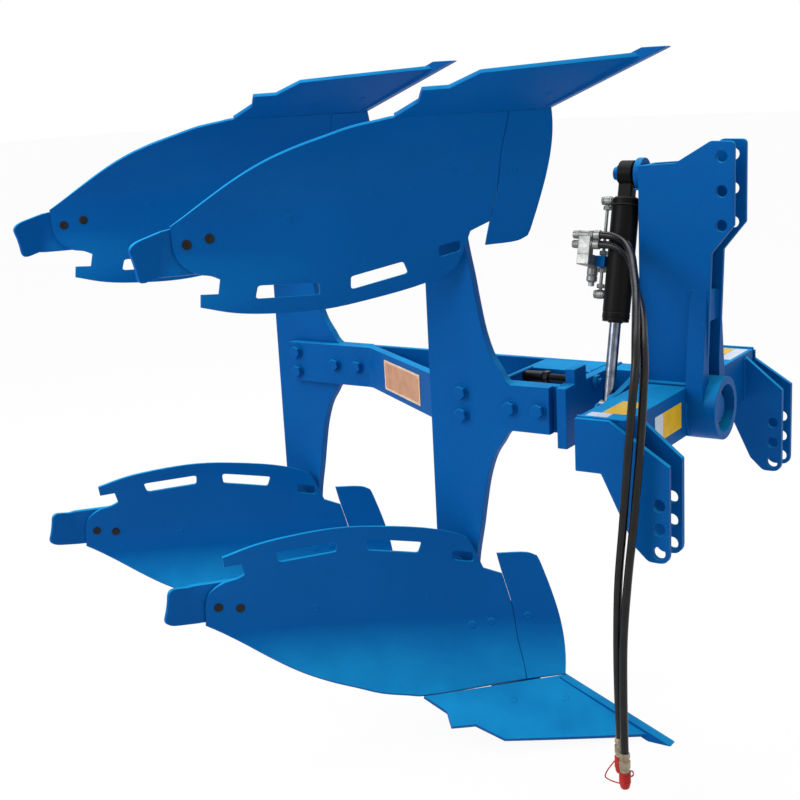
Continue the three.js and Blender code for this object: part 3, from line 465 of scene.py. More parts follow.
def tube(path, radius, sides=12, ripple=0):
    rippleTurn, endSize = 1.9, 0.6
    verts, faces = [], []
    side = Vector((0, 0, 1))
    for i, point in enumerate(path):
        onward = (path[min(i + 1, len(path) - 1)] - path[max(i - 1, 0)]).normalized()
        across = onward.cross(side)
        across = across.normalized() if across.length > 1e-3 else onward.orthogonal().normalized()
        side = across.cross(onward)
        size = radius * (1 + ripple * math.sin(i * rippleTurn)) * (endSize if i in (0, len(path) - 1) else 1)
        verts += [point + (across * p.x + side * p.y) * size for p in circle(1, steps=sides)]
    for i in range(len(path) - 1):
        for k in range(sides):
            a, b = i * sides + k, i * sides + (k + 1) % sides
            faces.append([a, b, b + sides, a + sides])
    faces.append(list(range(sides))[::-1])
    faces.append(list(range(len(verts) - sides, len(verts))))
    return verts, faces


def weld(*corners, radius=4, step=2.2):  # a bead laid along a line of points
    path = []
    for start, end in zip(corners, corners[1:]):
        start, end = Vector(start), Vector(end)
        count = max(2, round((end - start).length / step))
        path += [start.lerp(end, i / count) for i in range(count)]
    return tube(path + [Vector(corners[-1])], radius, 8, 0.14)


def welds(lines, side=1, radius=4):  # the lines are those of the left side
    return [weld(*[(x, side * y, z) for x, y, z in line], radius=radius) for line in lines]


def hexHead(across, height, place, soft=1.6):
    corners = [(p.x, p.y, soft * 1.5) for p in circle(across / math.sqrt(3), steps=6)]
    return plate(rounded(corners, 3), place, height, soft)


# Bolts and nuts: all but the washer's thickness is a share of the size
fastener = {"washer": 3, "bore": 0.55, "across": 1.5, "head": 0.62, "nut": 0.8, "thread": 0.5, "end": 1.15}


def washer(start, outward, size):
    return ring(size, size * fastener["bore"], fastener["washer"], along(start, outward), 0.5, 28)


def bolt(origin, direction, size=20):  # a washer and the head on it
    start, outward = Vector(origin), Vector(direction).normalized()
    seat = start + outward * fastener["washer"]
    head = hexHead(size * fastener["across"], size * fastener["head"], along(seat, outward, (0.3, 0.1, 1)))
    return [washer(start, outward, size), head]


def nut(origin, direction, size=20):  # a washer, the nut and the end of the thread
    start, outward = Vector(origin), Vector(direction).normalized()
    seat = start + outward * fastener["washer"]
    return [washer(start, outward, size),
            hexHead(size * fastener["across"], size * fastener["nut"], along(seat, outward, (0.2, 0.1, 1))),
            disc(size * fastener["thread"], size * fastener["end"], along(seat, outward), 1.5, 20)]


def moved(meshes, by=(0, 0, 0), flip=False):
    by = Vector(by)
    height = -1 if flip else 1
    return [([Vector((v.x, v.y, v.z * height)) + by for v in verts], faces) for verts, faces in meshes]


shading = {"sharp": 50, "weight": 80, "merge": 1e-6}


def piece(name, meshes, material, body, nodes=()):
    verts, faces = [], []
    for more, others in meshes:
        faces += [[len(verts) + i for i in face] for face in others]
        verts += more
    mesh = bpy.data.meshes.new(name)
    mesh.from_pydata([spot(v) for v in verts], [], faces)
    shape = bmesh.new()
    shape.from_mesh(mesh)
    bmesh.ops.remove_doubles(shape, verts=shape.verts, dist=shading["merge"])
    bmesh.ops.recalc_face_normals(shape, faces=shape.faces)
    shape.to_mesh(mesh)
    shape.free()
    mesh.polygons.foreach_set("use_smooth", [True] * len(mesh.polygons))
    mesh.set_sharp_from_angle(angle=math.radians(shading["sharp"]))
    mesh.materials.append(material)
    made = bpy.data.objects.new(name, mesh)
    bpy.context.collection.objects.link(made)
    weighted = made.modifiers.new("shading", "WEIGHTED_NORMAL")
    weighted.keep_sharp = True
    weighted.weight = shading["weight"]
    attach(made, body)
    if nodes:
        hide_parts(*nodes)
    return made


# Hoses, first: they hang beside the right link brackets
hoses = {"diameter": 18, "lead": 18, "exits": {"near": (-289.7, -84.3, 406.7), "far": (-289.7, -89.8, 385.4)},
         "near": [(-241, -86, 404), (-207, -103, 393), (-175, -141, 374), (-143, -200, 345), (-110, -266, 314),
                  (-80, -336, 280), (-52, -404, 234), (-37, -442, 184), (-38, -456, 120), (-47, -460, 3),
                  (-61, -460, -152), (-73, -460, -281), (-79, -457, -414), (-80, -454, -547), (-78, -452, -643)],
         "far": [(-240, -92, 383), (-207, -105, 370), (-179, -133, 351), (-154, -176, 330), (-126, -228, 310),
                 (-92, -284, 283), (-64, -338, 258), (-40, -390, 222), (-25, -424, 176), (-23, -438, 114),
                 (-28, -446, 1), (-39, -456, -150), (-50, -464, -275), (-58, -471, -404), (-59, -474, -537),
                 (-58, -474, -665)]}
ferrule = {"outside": 11.4, "bore": 9, "length": 15, "gap": 0.4}
coupler = {"length": 50, "gap": 0.3, "hexDrop": 3, "hexAcross": 21, "hexHeight": 10,
           "profile": [(0, 0.3), (10.6, 0.3), (10.6, 15), (9.6, 16), (9.6, 18), (12.4, 19.5), (12.4, 36),
                       (10.8, 38), (10.8, 49.7), (0, 49.7)]}
cap = {"core": 12, "rib": 13, "ribs": 4, "ribStep": 5, "ribFrom": 3, "ribTo": 5.4, "ribEnd": 6.2,
       "nose": [(11.4, 27), (9.5, 33), (7.5, 35), (0, 35)], "collar": (13, 10.9, 4), "collarRise": 5,
       "tabAt": 14, "tabWide": 4.5, "tabHigh": 6.5, "tabWire": 1.6, "cordWire": 1.5,
       "cord": [(-9, -7, -4), (-17, -12, -16), (-26, -17, -32), (-28, -19, -43), (-18, -22, -46), (4, -26, -46),
                (10, -26, -46)]}


def capTrim(word, top):  # a cord keeps the two caps together, and the far one shows its tab
    if word == "near":
        return tube(smoothLine([top + Vector(knot) for knot in cap["cord"]], 5), cap["cordWire"], 8)
    tab = top + right * cap["tabAt"]
    loop = [tab + right * cap["tabWide"] * p.x + Vector((0, 0, cap["tabHigh"] * p.y))
            for p in circle(1, steps=20)]
    return tube(loop + loop[:1], cap["tabWire"], 8)


for word in ("near", "far"):
    exitPoint = Vector(hoses["exits"][word])
    route = smoothLine([exitPoint, exitPoint + Vector((hoses["lead"], 0, 0))] + hoses[word], 10)
    curve = bpy.data.curves.new(f"hose_{word}_line", "CURVE")
    curve.dimensions = "3D"
    curve.bevel_depth = hoses["diameter"] / 2 / perMetre
    curve.bevel_resolution = 5
    curve.use_fill_caps = True
    spline = curve.splines.new("POLY")
    spline.points.add(len(route) - 1)
    for knot, point in zip(spline.points, route):
        knot.co = (*spot(point), 1)
    curve.materials.append(hoseRubber)
    hose = bpy.data.objects.new(f"rubber_hose_{word}", curve)
    bpy.context.collection.objects.link(hose)
    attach(hose, "headstock")
    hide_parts(f"hose_{word}")
    foot = Vector(hoses[word][-1])
    hexTop = foot - Vector((0, 0, coupler["hexDrop"]))
    couplerMade = piece(f"coupler_body_{word}", [
        turning(coupler["profile"], along(foot, toGround, toFront), 32, 0.6),
        hexHead(coupler["hexAcross"], coupler["hexHeight"], along(hexTop, toGround, toFront))],
        couplerZinc, "headstock", [f"coupler_{word}"])
    capTop = foot - Vector((0, 0, coupler["length"] + coupler["gap"]))
    capLine = [(0, 0), (cap["core"], 0)]
    for start in (i * cap["ribStep"] for i in range(cap["ribs"])):
        capLine += [(cap["rib"], start + cap["ribFrom"]), (cap["rib"], start + cap["ribTo"]),
                    (cap["core"], start + cap["ribEnd"])]
    collarTop = capTop + Vector((0, 0, cap["collarRise"]))
    capMade = piece(f"dust_cap_body_{word}", [
        turning(capLine + cap["nose"], along(capTop, toGround, toFront), 32, 0.6),
        ring(*cap["collar"], along(collarTop, toGround), 0.8, 32), capTrim(word, capTop)],
        capPlastic, "headstock", [f"dust_cap_{word}"])
    sleeveStart = exitPoint + Vector((ferrule["gap"], 0, 0))
    sleeve = piece(f"hose_ferrule_{word}", [
        ring(ferrule["outside"], ferrule["bore"], ferrule["length"], along(sleeveStart, toFront), 1.2, 32)],
        zincPlate, "headstock", ())
    length = sum((b - a).length for a, b in zip(route, route[1:]))
    spot(exitPoint)
    length / perMetre
    print("hose", word, round(length), "mm")

# Headstock: two square tubes, four link plates and the hub. Of two sides, the values are the left's.
crossTube = {"front": -74.5, "rear": -190.5, "half": 58, "inner": 60, "reach": 401, "corner": 9}
linkPlate = {"rear": -190.5, "length": 213.5, "foot": -242, "height": 300, "thickness": 14, "edge": 1.6,
             "corner": 3, "middles": {"outer": 408, "inner": 335}, "drops": (115, 167, 219), "hole": 14,
             "outerShares": [(0, 1), (0.37, 1), (1, 0.713), (1, 0, 23), (0.78, 0, 23), (0.626, 0.103),
                             (0.28, 0.607), (0, 0.607)],
             "inner": [(-72.84, 50.8, 3), (23, -28, 3), (23, -242, 23), (-24, -242, 23), (-56.9, -211.1, 4),
                       (-130.7, -59.9, 3), (-73.7, -59.9, 3), (-73.7, 50.8, 3)],
             "beads": [[(-190, 401, 58.5), (-75, 401, 58.5)], [(-73.5, 401, 56), (-73.5, 401, -56)],
                       [(-73.5, 328, 48), (-73.5, 328, -56)], [(-74, 328, -58.5), (-128, 328, -58.5)],
                       [(-75, 401, -58.5), (-186, 401, -58.5)]]}
hubBead = {"radius": 74.5, "angle": 51, "gap": 0.5, "lines": [[(-76, 47.5, 58.5), (-189, 47.5, 58.5)],
                                                              [(-76, 47.5, -58.5), (-189, 47.5, -58.5)]]}
bothSides = ((-1, "right"), (1, "left"))
linkPlate["outer"] = [(linkPlate["rear"] + a * linkPlate["length"],
                       linkPlate["foot"] + b * linkPlate["height"], *(corner or (linkPlate["corner"],)))
                      for a, b, *corner in linkPlate["outerShares"]]
for side, word in bothSides:
    ends = sorted((side * crossTube["inner"], side * crossTube["reach"]))
    piece(f"square_tube_{word}", [box((crossTube["rear"], ends[0], -crossTube["half"]),
                                      (crossTube["front"], ends[1], crossTube["half"]), crossTube["corner"])],
          blueEnamel, "headstock", [f"cross_tube_{word}"])
    pinHoles = [circle(linkPlate["hole"], 0, -drop) for drop in linkPlate["drops"]]
    for kind, middle in linkPlate["middles"].items():
        start = side * middle - linkPlate["thickness"] / 2
        piece(f"link_plate_{kind}_{word}", [plate(rounded(linkPlate[kind]), overY(start),
                                                  linkPlate["thickness"], linkPlate["edge"], pinHoles)],
              blueEnamel, "headstock", [f"bracket_{kind}_{word}"])
    piece(f"bracket_welds_{word}", welds(linkPlate["beads"], side), blueEnamel, "headstock")

piece("hub_tube", [ring(hub["outside"], hub["bore"], hub["length"],
                        along((hub["back"], 0, 0), toFront), hub["round"], 72)],
      blueEnamel, "headstock", ["hub_housing"])
for word, start in hub["bushes"].items():
    piece(f"bronze_bush_{word}", [ring(hub["bushOutside"], hub["bushBore"], hub["bushLength"],
                                       along((start, 0, 0), toFront), 1.2, 64)],
          bearingBronze, "headstock", [f"hub_bush_{word}"])
hubArc = arc(hubBead["radius"], -hubBead["angle"], hubBead["angle"] + 1)
hubLines = [[(x, y, z) for y, z in hubArc]
            for x in (crossTube["front"] + hubBead["gap"], crossTube["rear"] - hubBead["gap"])]
hubLines += hubBead["lines"]
piece("hub_welds", [bead for side in (-1, 1) for bead in welds(hubLines, side)], blueEnamel, "headstock")

# Mast
mast = {"rear": -198, "length": 226, "height": 613, "inner": 33, "thickness": 12, "edge": 1.6,
        "hole": 13, "holesAt": -1, "holes": (427, 503, 579),
        "shares": [(0, 0.915, 4), (0.394, 0.923, 10), (0.757, 1, 12), (1, 0.998, 12), (1, 0.698, 4),
                   (0.77, 0.594, 8), (0.73, 0.178, 4), (0.73, 0.0905, 0), (0.035, 0.0905, 0), (0, 0.488, 4)]}
cheek = {"back": -75, "depth": 41.4, "top": 283, "inner": 35, "outer": 45, "foot": 60, "overHub": 73,
         "spread": 74, "spreadAt": 58, "edge": 1.6}
mastBead = {"cheek": [[(-74, 46.5, 60), (-74, 45.5, 280)]], "foot": [[(-76, 46, 60), (-189, 46, 60)]],
            "spacer": [[(-37.5, 32, 206), (-37.5, 32, 271)]]}
spacer = {"low": (-52, -32.7, 204), "high": (-38, 32.7, 273)}
mastBack = {"low": (-198, -32.7, 90), "high": (-186, 32.7, 560.5), "shelfLow": (-214, -32.7, 504),
            "shelfHigh": (-190, 32.7, 508), "eye": (36, 15.3, 17), "eyeAt": (-215, 0, 540)}
topPin = {"radius": 15, "length": 76, "start": (-274, 0, 540), "collar": (21, 15.4, 4),
          "collarAt": (-264, 0, 540), "crossPin": [(-268, -21, 540), (-268, 21, 540)], "crossRadius": 2.6}
mastOutline = rounded([(a * mast["length"] + mast["rear"], b * mast["height"], corner)
                       for a, b, corner in mast["shares"]])
topHoles = [circle(mast["hole"], mast["holesAt"], height) for height in mast["holes"]]
flare = [(cheek["inner"], cheek["top"], 2), (cheek["inner"], cheek["foot"]),
         *arc(cheek["overHub"], 60, -1, -6),
         (cheek["spread"], cheek["spreadAt"], 2), (cheek["outer"], cheek["top"], 2)]
for side, word in bothSides:
    start = mast["inner"] if side > 0 else -mast["inner"] - mast["thickness"]
    sideFlare = rounded([(side * y, *rest) for y, *rest in flare])
    piece(f"mast_side_{word}", [
        plate(mastOutline, overY(start), mast["thickness"], mast["edge"], topHoles),
        plate(sideFlare, overX(cheek["back"]), cheek["depth"], cheek["edge"]),
        *welds(mastBead["cheek"], side, 3.5), *welds(mastBead["foot"], side)],
        blueEnamel, "headstock", [f"mast_plate_{word}"])
piece("mast_spacer_block", [box(spacer["low"], spacer["high"]), *welds(mastBead["spacer"], -1, 3),
                            *welds(mastBead["spacer"], 1, 3)], blueEnamel, "headstock", ["mast_spacer"])
piece("mast_back_plate", [box(mastBack["low"], mastBack["high"]),
                          ring(*mastBack["eye"], along(mastBack["eyeAt"], toFront), 2, 56),
                          box(mastBack["shelfLow"], mastBack["shelfHigh"], 1.5)],
      blueEnamel, "headstock", ["mast_rear_plate"])
piece("cylinder_pivot_pin", [disc(topPin["radius"], topPin["length"], along(topPin["start"], toFront), 2, 40),
                             tube([Vector(end) for end in topPin["crossPin"]], topPin["crossRadius"], 10),
                             ring(*topPin["collar"], along(topPin["collarAt"], toFront), 0.8, 40)],
      blueEnamel, "headstock", ["cylinder_pin"])
print("headstock made")

# Turnover cylinder: its pieces are placed back, aside and down from its top pin
cylinder = {"pivot": (-240, 0, 540), "crankPin": 138, "eye": (30, 16, 34), "eyeBack": -17,
            "neck": (-15, -17, 15, 17, 3), "neckFrom": 22, "neckLength": 38}
barrel = {"start": 56, "end": 338, "radius": 32, "bore": 25.5, "floor": 76, "shoulder": 26, "slope": 5,
          "grooves": (74, 322), "grooveDepth": 0.8, "beadRadius": 33, "beadAt": 75.5, "bead": 2.2}
gland = {"start": 338.3, "body": (31, 13.9, 7), "wiperStart": 345.2, "wiper": (17, 13.8, 3)}
rod = {"start": 295, "radius": 13.5, "short": 26, "piston": (24.6, 13, 35), "eye": (29, 15, 34)}
crankBolt = {"back": -26.3, "shank": (14, 44), "head": (21, 8.7)}
pivot = Vector(cylinder["pivot"])
swing = math.atan(cylinder["crankPin"] / pivot.z)
reach = math.hypot(cylinder["crankPin"], pivot.z)
rodWay = Vector((0, -math.sin(swing), -math.cos(swing)))
aside = Vector((0, math.cos(swing), -math.sin(swing)))


def onCylinder(back, side, down):
    return pivot + Vector((back, 0, 0)) + aside * side + rodWay * down


def downFrom(back, side, down):
    return along(onCylinder(back, side, down), rodWay, toFront)


def acrossFrom(back, side, down):
    return along(onCylinder(back, side, down), toFront, rodWay)


def frontFrom(back, side, down):
    return along(onCylinder(back, side, down), toFront)


def faceFrom(back, down):  # for a block whose outline is seen from behind
    return lambda u, v, w: onCylinder(back + w, u, down + v)


skin = [(0, barrel["start"]), (barrel["shoulder"], barrel["start"]),
        (barrel["radius"], barrel["start"] + barrel["slope"])]
for groove in barrel["grooves"]:
    inside = barrel["radius"] - barrel["grooveDepth"]
    skin += [(barrel["radius"], groove), (inside, groove + 1), (inside, groove + 3),
             (barrel["radius"], groove + 4)]
skin += [(barrel["radius"], barrel["end"]), (barrel["bore"], barrel["end"]),
         (barrel["bore"], barrel["floor"]), (0, barrel["floor"])]
barrelBead = [onCylinder(a, b, barrel["beadAt"]) for a, b in arc(barrel["beadRadius"], 0, 361, 10)]
piece("barrel", [ring(*cylinder["eye"], acrossFrom(cylinder["eyeBack"], 0, 0), 2, 56),
                 plate(rectangle(*cylinder["neck"]), downFrom(0, 0, cylinder["neckFrom"]),
                       cylinder["neckLength"], 1),
                 turning(skin, downFrom(0, 0, 0), 64, 0.8), weld(*barrelBead, radius=barrel["bead"])],
      blackEnamel, "cylinder", ["cylinder_barrel"])
piece("end_gland", [ring(*gland["body"], downFrom(0, 0, gland["start"]), 1, 64)],
      blackEnamel, "cylinder", ["cylinder_gland"])
piece("rod_wiper", [ring(*gland["wiper"], downFrom(0, 0, gland["wiperStart"]), 0.8, 48)],
      hoseRubber, "cylinder", ())
rodStart, boltPlace = downFrom(0, 0, rod["start"]), acrossFrom(crankBolt["back"], 0, reach)
piece("chromed_rod", [disc(rod["radius"], reach - rod["start"] - rod["short"], rodStart, 1, 48),
                      ring(*rod["piston"], rodStart, 1, 48),
                      ring(*rod["eye"], acrossFrom(cylinder["eyeBack"], 0, reach), 2, 56)],
      hardChrome, "rod", ["piston_rod"])
piece("crank_bolt", [disc(*crankBolt["shank"], boltPlace, 1, 40),
                     disc(*crankBolt["head"], boltPlace, 1.5, 48)],
      blueEnamel, "rod", ["crank_pin"])

# Oil block, feed pipes and the union that the hoses leave from
oilBlock = {"down": 207, "back": -54.3, "face": (-19, -13, 31, 13, 2), "depth": 22, "plug": (19, 7),
            "plugAt": (-43, 31)}
banjo = {"downs": (64, 283), "body": (11, 6, 14), "back": -52.3, "head": (19, 7), "bolt": (7, 24),
         "boltBack": -56.3, "washer": (10, 6, 4), "washerBack": -38.3}
feedPipe = {"back": -45.3, "radius": 6.5, "runs": ((70, 195), (219, 277)), "nut": 17,
            "nuts": ((181, 11), (221, 11), (76, 10), (259, 10))}
union = {"back": -84.6, "depth": 30, "face": (-60, -13, 24, 13, 3),
         "arm": [(-60, -55, 4), (-37, -55, 4), (-37, -10, 3), (-60, -10, 3)],
         "stubDowns": (150, 172), "stubAside": -48.7, "stubBack": -102, "stub": (9.5, 51), "nut": 19,
         "stubNuts": ((-96, 12), (-61, 10)), "valveBack": -69.6, "valveHex": (22, 12), "valveHexAt": 221,
         "valve": [(0, 207), (11, 207), (11, 222), (13, 224), (13, 238), (11.4, 240), (13, 243), (13, 252),
                   (9.4, 255), (7, 257), (7, 265), (0, 265)],
         "sideHex": (17, 9), "sideAt": 24, "sideStub": (6, 13)}
piece("oil_block", [
    plate(rectangle(*oilBlock["face"]), faceFrom(oilBlock["back"], oilBlock["down"]), oilBlock["depth"], 1.2),
    hexHead(*oilBlock["plug"], along(onCylinder(*oilBlock["plugAt"], oilBlock["down"]), aside))],
    blueEnamel, "cylinder", ["valve_block"])
pipes = []
for down in banjo["downs"]:
    pipes += [ring(*banjo["body"], frontFrom(banjo["back"], 0, down), 1.4, 36),
              hexHead(*banjo["head"], along(onCylinder(banjo["back"], 0, down), toRear)),
              disc(*banjo["bolt"], frontFrom(banjo["boltBack"], 0, down), 1, 24),
              ring(*banjo["washer"], frontFrom(banjo["washerBack"], 0, down), 0.8, 36)]
for run in feedPipe["runs"]:
    pipes.append(tube([onCylinder(feedPipe["back"], 0, down) for down in run], feedPipe["radius"], 20))
for down, height in feedPipe["nuts"]:
    pipes.append(hexHead(feedPipe["nut"], height, downFrom(feedPipe["back"], 0, down)))
piece("feed_pipes", pipes, zincPlate, "cylinder", ["feed_pipe"])
unionFace = faceFrom(union["back"], oilBlock["down"])
sidePlace = along(onCylinder(union["valveBack"], union["sideAt"], oilBlock["down"]), aside)
carrier = [plate(rectangle(*union["face"]), unionFace, union["depth"], 1.5),
           plate(rounded(union["arm"]), unionFace, union["depth"], 1.5)]
for down in union["stubDowns"]:
    carrier.append(disc(*union["stub"], frontFrom(union["stubBack"], union["stubAside"], down), 1.2, 32))
    carrier += [hexHead(union["nut"], height, frontFrom(back, union["stubAside"], down))
                for back, height in union["stubNuts"]]
carrier += [turning(union["valve"], downFrom(union["valveBack"], 0, 0), 36, 0.7),
            hexHead(*union["valveHex"], downFrom(union["valveBack"], 0, union["valveHexAt"])),
            hexHead(*union["sideHex"], sidePlace), disc(*union["sideStub"], sidePlace, 1, 24)]
piece("hose_union", carrier, zincPlate, "cylinder", ["hose_fittings"])
print("cylinder made")

# Turnover frame: crank, shaft, yoke and head plate
crank = {"back": -222, "thickness": 16, "edge": 1.6,
         "outline": [(134, 57, 3), (0, 78, 3), (-138, 50, 3), (-188, 50, 46), (-188, -50, 46), (-138, -50, 3),
                     (0, -78, 3), (134, -57, 3)],
         "shaft": [(0, -206), (45.7, -206), (45.7, -55), (30, -54.5), (30, -18), (0, -18)]}
hubNut = {"washer": (53, 30.4, 6), "washerAt": (-54.7, 0, 0), "across": 79, "height": 24, "at": (-48.7, 0, 0)}
yoke = {"low": (-324.7, 60, -57), "high": (-222.3, 134, 57),
        "beads": [[(-223, 61, 57.5), (-223, 133, 57.5)], [(-324, 61, 57.5), (-324, 133, 57.5)],
                  [(-324, 59.5, 55), (-324, 59.5, -55)]]}
headPlate = {"back": -350, "thickness": 25, "edge": 1.8, "boltAt": (-324.8, -25, 44), "head": (30, 12),
             "bolt": (9, 20), "outline": [(134, -57, 3), (134, 59, 3), (-69.2, 59, 3), (-69.2, 95, 3),
                                          (-132.2, 95, 3), (-132.2, 59, 3), (-181, 59, 3), (-181, -88, 3),
                                          (-7.8, -88, 3), (9.6, -57, 3)]}
piece("crank_and_shaft", [
    plate(rounded(crank["outline"], 8), overX(crank["back"]), crank["thickness"], crank["edge"]),
    turning(crank["shaft"], along((0, 0, 0), toFront), 64, 1.5)],
    blueEnamel, "turnover_frame", ["crank_shaft"])
piece("hub_nut", [ring(*hubNut["washer"], along(hubNut["washerAt"], toFront), 1, 56),
                  hexHead(hubNut["across"], hubNut["height"], along(hubNut["at"], toFront), 2.5)],
      zincPlate, "turnover_frame", ["shaft_nut"])
piece("yoke_tube", [box(yoke["low"], yoke["high"], 5), *welds(yoke["beads"])],
      blueEnamel, "turnover_frame", ["yoke_box"])
piece("head_plate", [plate(rounded(headPlate["outline"], 3), overX(headPlate["back"]), headPlate["thickness"],
                           headPlate["edge"]),
                     hexHead(*headPlate["head"], along(headPlate["boltAt"], toFront)),
                     disc(*headPlate["bolt"], along(headPlate["boltAt"], toFront), 1.5, 20)],
      blueEnamel, "turnover_frame", ["headplate"])


def bentLine(points, radius):  # a line in plan with its bends rounded, as [x, y]
    path = [Vector(points[0])]
    for before, knot, after in zip(points, points[1:], points[2:]):
        corner = Vector(knot)
        inward, outward = Vector(before) - corner, Vector(after) - corner
        path += cornerArc(corner, inward, outward, radius / math.tan(inward.angle(outward) / 2), 6)
    return path + [Vector(points[-1])]


def beside(path, by):
    sideways = []
    for i, point in enumerate(path):
        first = (point - path[i - 1]).normalized() if i else (path[1] - path[0]).normalized()
        second = (path[i + 1] - point).normalized() if i + 1 < len(path) else first
        middle = Vector((first.y + second.y, -first.x - second.x))
        sideways.append(point + middle * by / (1 + first.dot(second)))
    return sideways


# Beam and rail. The rail's boxes lie slightly inside each other, so that no two faces share a plane.
beam = {"near": [(-350.3, -155.7), (-698, -155.7), (-1063, 92.7), (-1345, 92.7)], "thickness": 25, "half": 57,
        "bend": 40, "edge": 1.8, "beads": [[(-349.5, -154, 57.5), (-349.5, -132, 57.5)],
                                           [(-349.5, -130, 56), (-349.5, -130, -56)],
                                           [(-349.5, -156.5, 56), (-349.5, -156.5, -56)]]}
rail = {"boxes": [((-1081.7, 118, -57), (-350.3, 134, 57), 2.5),
                  ((-531, -130.4, -56.7), (-515, 133.7, 56.7), 2.5),
                  ((-530.6, 15, -56.4), (-350.7, 133.4, 56.4), 4)],
        "yokeBead": [[(-351, 17, 57.5), (-351, 133, 57.5)]],
        "crossBeads": [[(-514, -128, 57.5), (-514, 14, 57.5)], [(-514, 14, 56), (-514, 14, -56)],
                       [(-514, -129.5, 56), (-514, -129.5, -56)]]}
nearLine = bentLine(beam["near"], beam["bend"])
farLine = beside(nearLine, beam["thickness"])
piece("bent_beam", [plate(nearLine + farLine[::-1], overZ(-beam["half"]), 2 * beam["half"], beam["edge"])],
      blueEnamel, "turnover_frame", ["diagonal_beam"])
piece("beam_rail", [*[box(*part) for part in rail["boxes"]], *welds(rail["yokeBead"]),
                    *welds(rail["crossBeads"], 1, 3.5)], blueEnamel, "turnover_frame", ["inner_rail"])
piece("beam_welds", welds(beam["beads"]), blueEnamel, "turnover_frame")

# The adjusting spindle: a threaded rod in a plain sleeve
spindle = {"at": (-514.7, -25, 44), "core": 8.8, "crest": 10, "pitch": 4.08, "turns": 27, "threadFrom": 52,
           "threadTo": 164, "rise": 0.6, "crestFrom": 2, "crestTo": 2.6, "fall": 3.9, "sleeve": (14, 6, 52),
           "nut": (30, 14), "nutAt": (-460, -25, 44)}
core, crest = spindle["core"], spindle["crest"]
thread = [(0, spindle["threadFrom"])]
for start in (spindle["threadFrom"] + i * spindle["pitch"] for i in range(spindle["turns"])):
    thread += [(core, start + spindle["rise"]), (crest, start + spindle["crestFrom"]),
               (crest, start + spindle["crestTo"]), (core, start + spindle["fall"])]
thread += [(core, spindle["threadTo"]), (0, spindle["threadTo"])]
piece("spindle_rod", [turning(thread, along(spindle["at"], toFront), 28, 0),
                      ring(*spindle["sleeve"], along(spindle["at"], toFront), 1.5, 36),
                      hexHead(*spindle["nut"], along(spindle["nutAt"], toFront))],
      threadOil, "turnover_frame", ["adjuster_spindle"])
print("frame made")

# Legs, with the bolts through the beam and the frogs. The rear leg's beam bolts sit on the beam's near face.
legs = {"rear": -698, "arm": 328, "reach": 535, "half": 57, "near": -181, "thickness": 25, "edge": 2,
        "armAt": 0.689, "beamBolts": [(90, 28), (90, -28), (224, 0), (301, 0)], "beamNuts": -130.6,
        "onBeam": {"front": 0, "rear": 25.3}, "footBolts": [(58, 0.79), (58, 0.93)], "footNuts": -134.8,
        "shares": [(0.315, 1), (0.342, 0.766), (0.4, 0.58), (0.427, 0.484), (0.476, 0.338), (0.54, 0.23),
                   (0.607, 0.168), (0.652, 0.125)]}
furrows = {"front": Vector((0, 0, 0)), "rear": Vector((-712, 299, 0))}
upperEdge = [(legs["rear"], legs["reach"])]
upperEdge += [(legs["rear"] + a * legs["arm"], b * legs["reach"]) for a, b in legs["shares"]]
upperEdge += [(legs["rear"] + a * legs["arm"], legs["half"]) for a in (legs["armAt"], 1)]
legLoop = softLoop(upperEdge + [(x, -z) for x, z in reversed(upperEdge)], 30, 5)
legMesh = plate(legLoop, overY(legs["near"]), legs["thickness"], legs["edge"])
for word, shift in furrows.items():
    piece(f"leg_plate_{word}", moved([legMesh], shift), blueEnamel, "turnover_frame", [f"{word}_leg"])
    places = [(back, z, legs["onBeam"][word], legs["beamNuts"]) for back, z in legs["beamBolts"]]
    places += [(back, side * share * legs["reach"], 0, legs["footNuts"])
               for back, share in legs["footBolts"] for side in (-1, 1)]
    heads, nuts = [], []
    for back, z, nearer, nutAt in places:
        heads += bolt((legs["rear"] + back, legs["near"] - nearer, z), toRight)
        nuts += nut((legs["rear"] + back, nutAt - nearer, z), toLeft)
    piece(f"leg_bolts_{word}", moved(heads, shift), blueEnamel, "turnover_frame")
    piece(f"leg_nuts_{word}", moved(nuts, shift), blueEnamel, "turnover_frame")
print("legs made")

# Plough bodies: one working surface carries mouldboard, shin and tail
tip = Vector((-86, -108, -820))  # the point of the front lower share
wall = {"heights": (1, 0.667, 0.333, 0), "offset": (-0.2406, -0.1226, -0.1006, 0.0097),
        "slope": (1.0764, 0.7746, 0.7178, 0.917), "bow": (0.1281, 0.1921, 0.2561, 0.3415),
        "length": 683, "height": 429, "shin": 291, "joint": 123}


def behindTip(back, away, height):
    return tip + Vector((-back, -away, height))


def wallPoint(u, v):  # u back from the shin's foot, v above the joint
    a, b = u / wall["length"], v / wall["height"]
    weights = []
    for height in wall["heights"]:
        weight = 1
        for other in wall["heights"]:
            if other != height:
                weight *= (b - other) / (height - other)
        weights.append(weight)
    offset, slope, bow = (sum(weight * value for weight, value in zip(weights, wall[key]))
                          for key in ("offset", "slope", "bow"))
    return behindTip(wall["shin"] + u, (offset + slope * a + bow * a * a) * wall["length"], wall["joint"] + v)


def onWall(shares):
    return [(a * wall["length"], b * wall["height"]) for a, b in shares]


def behind(point, depth):  # a place function for a plate that lies behind a curved surface
    def place(u, v, w):
        across = point(u + 0.5, v) - point(u - 0.5, v)
        over = point(u, v + 0.5) - point(u, v - 0.5)
        return point(u, v) - over.cross(across).normalized() * (depth + w)
    return place


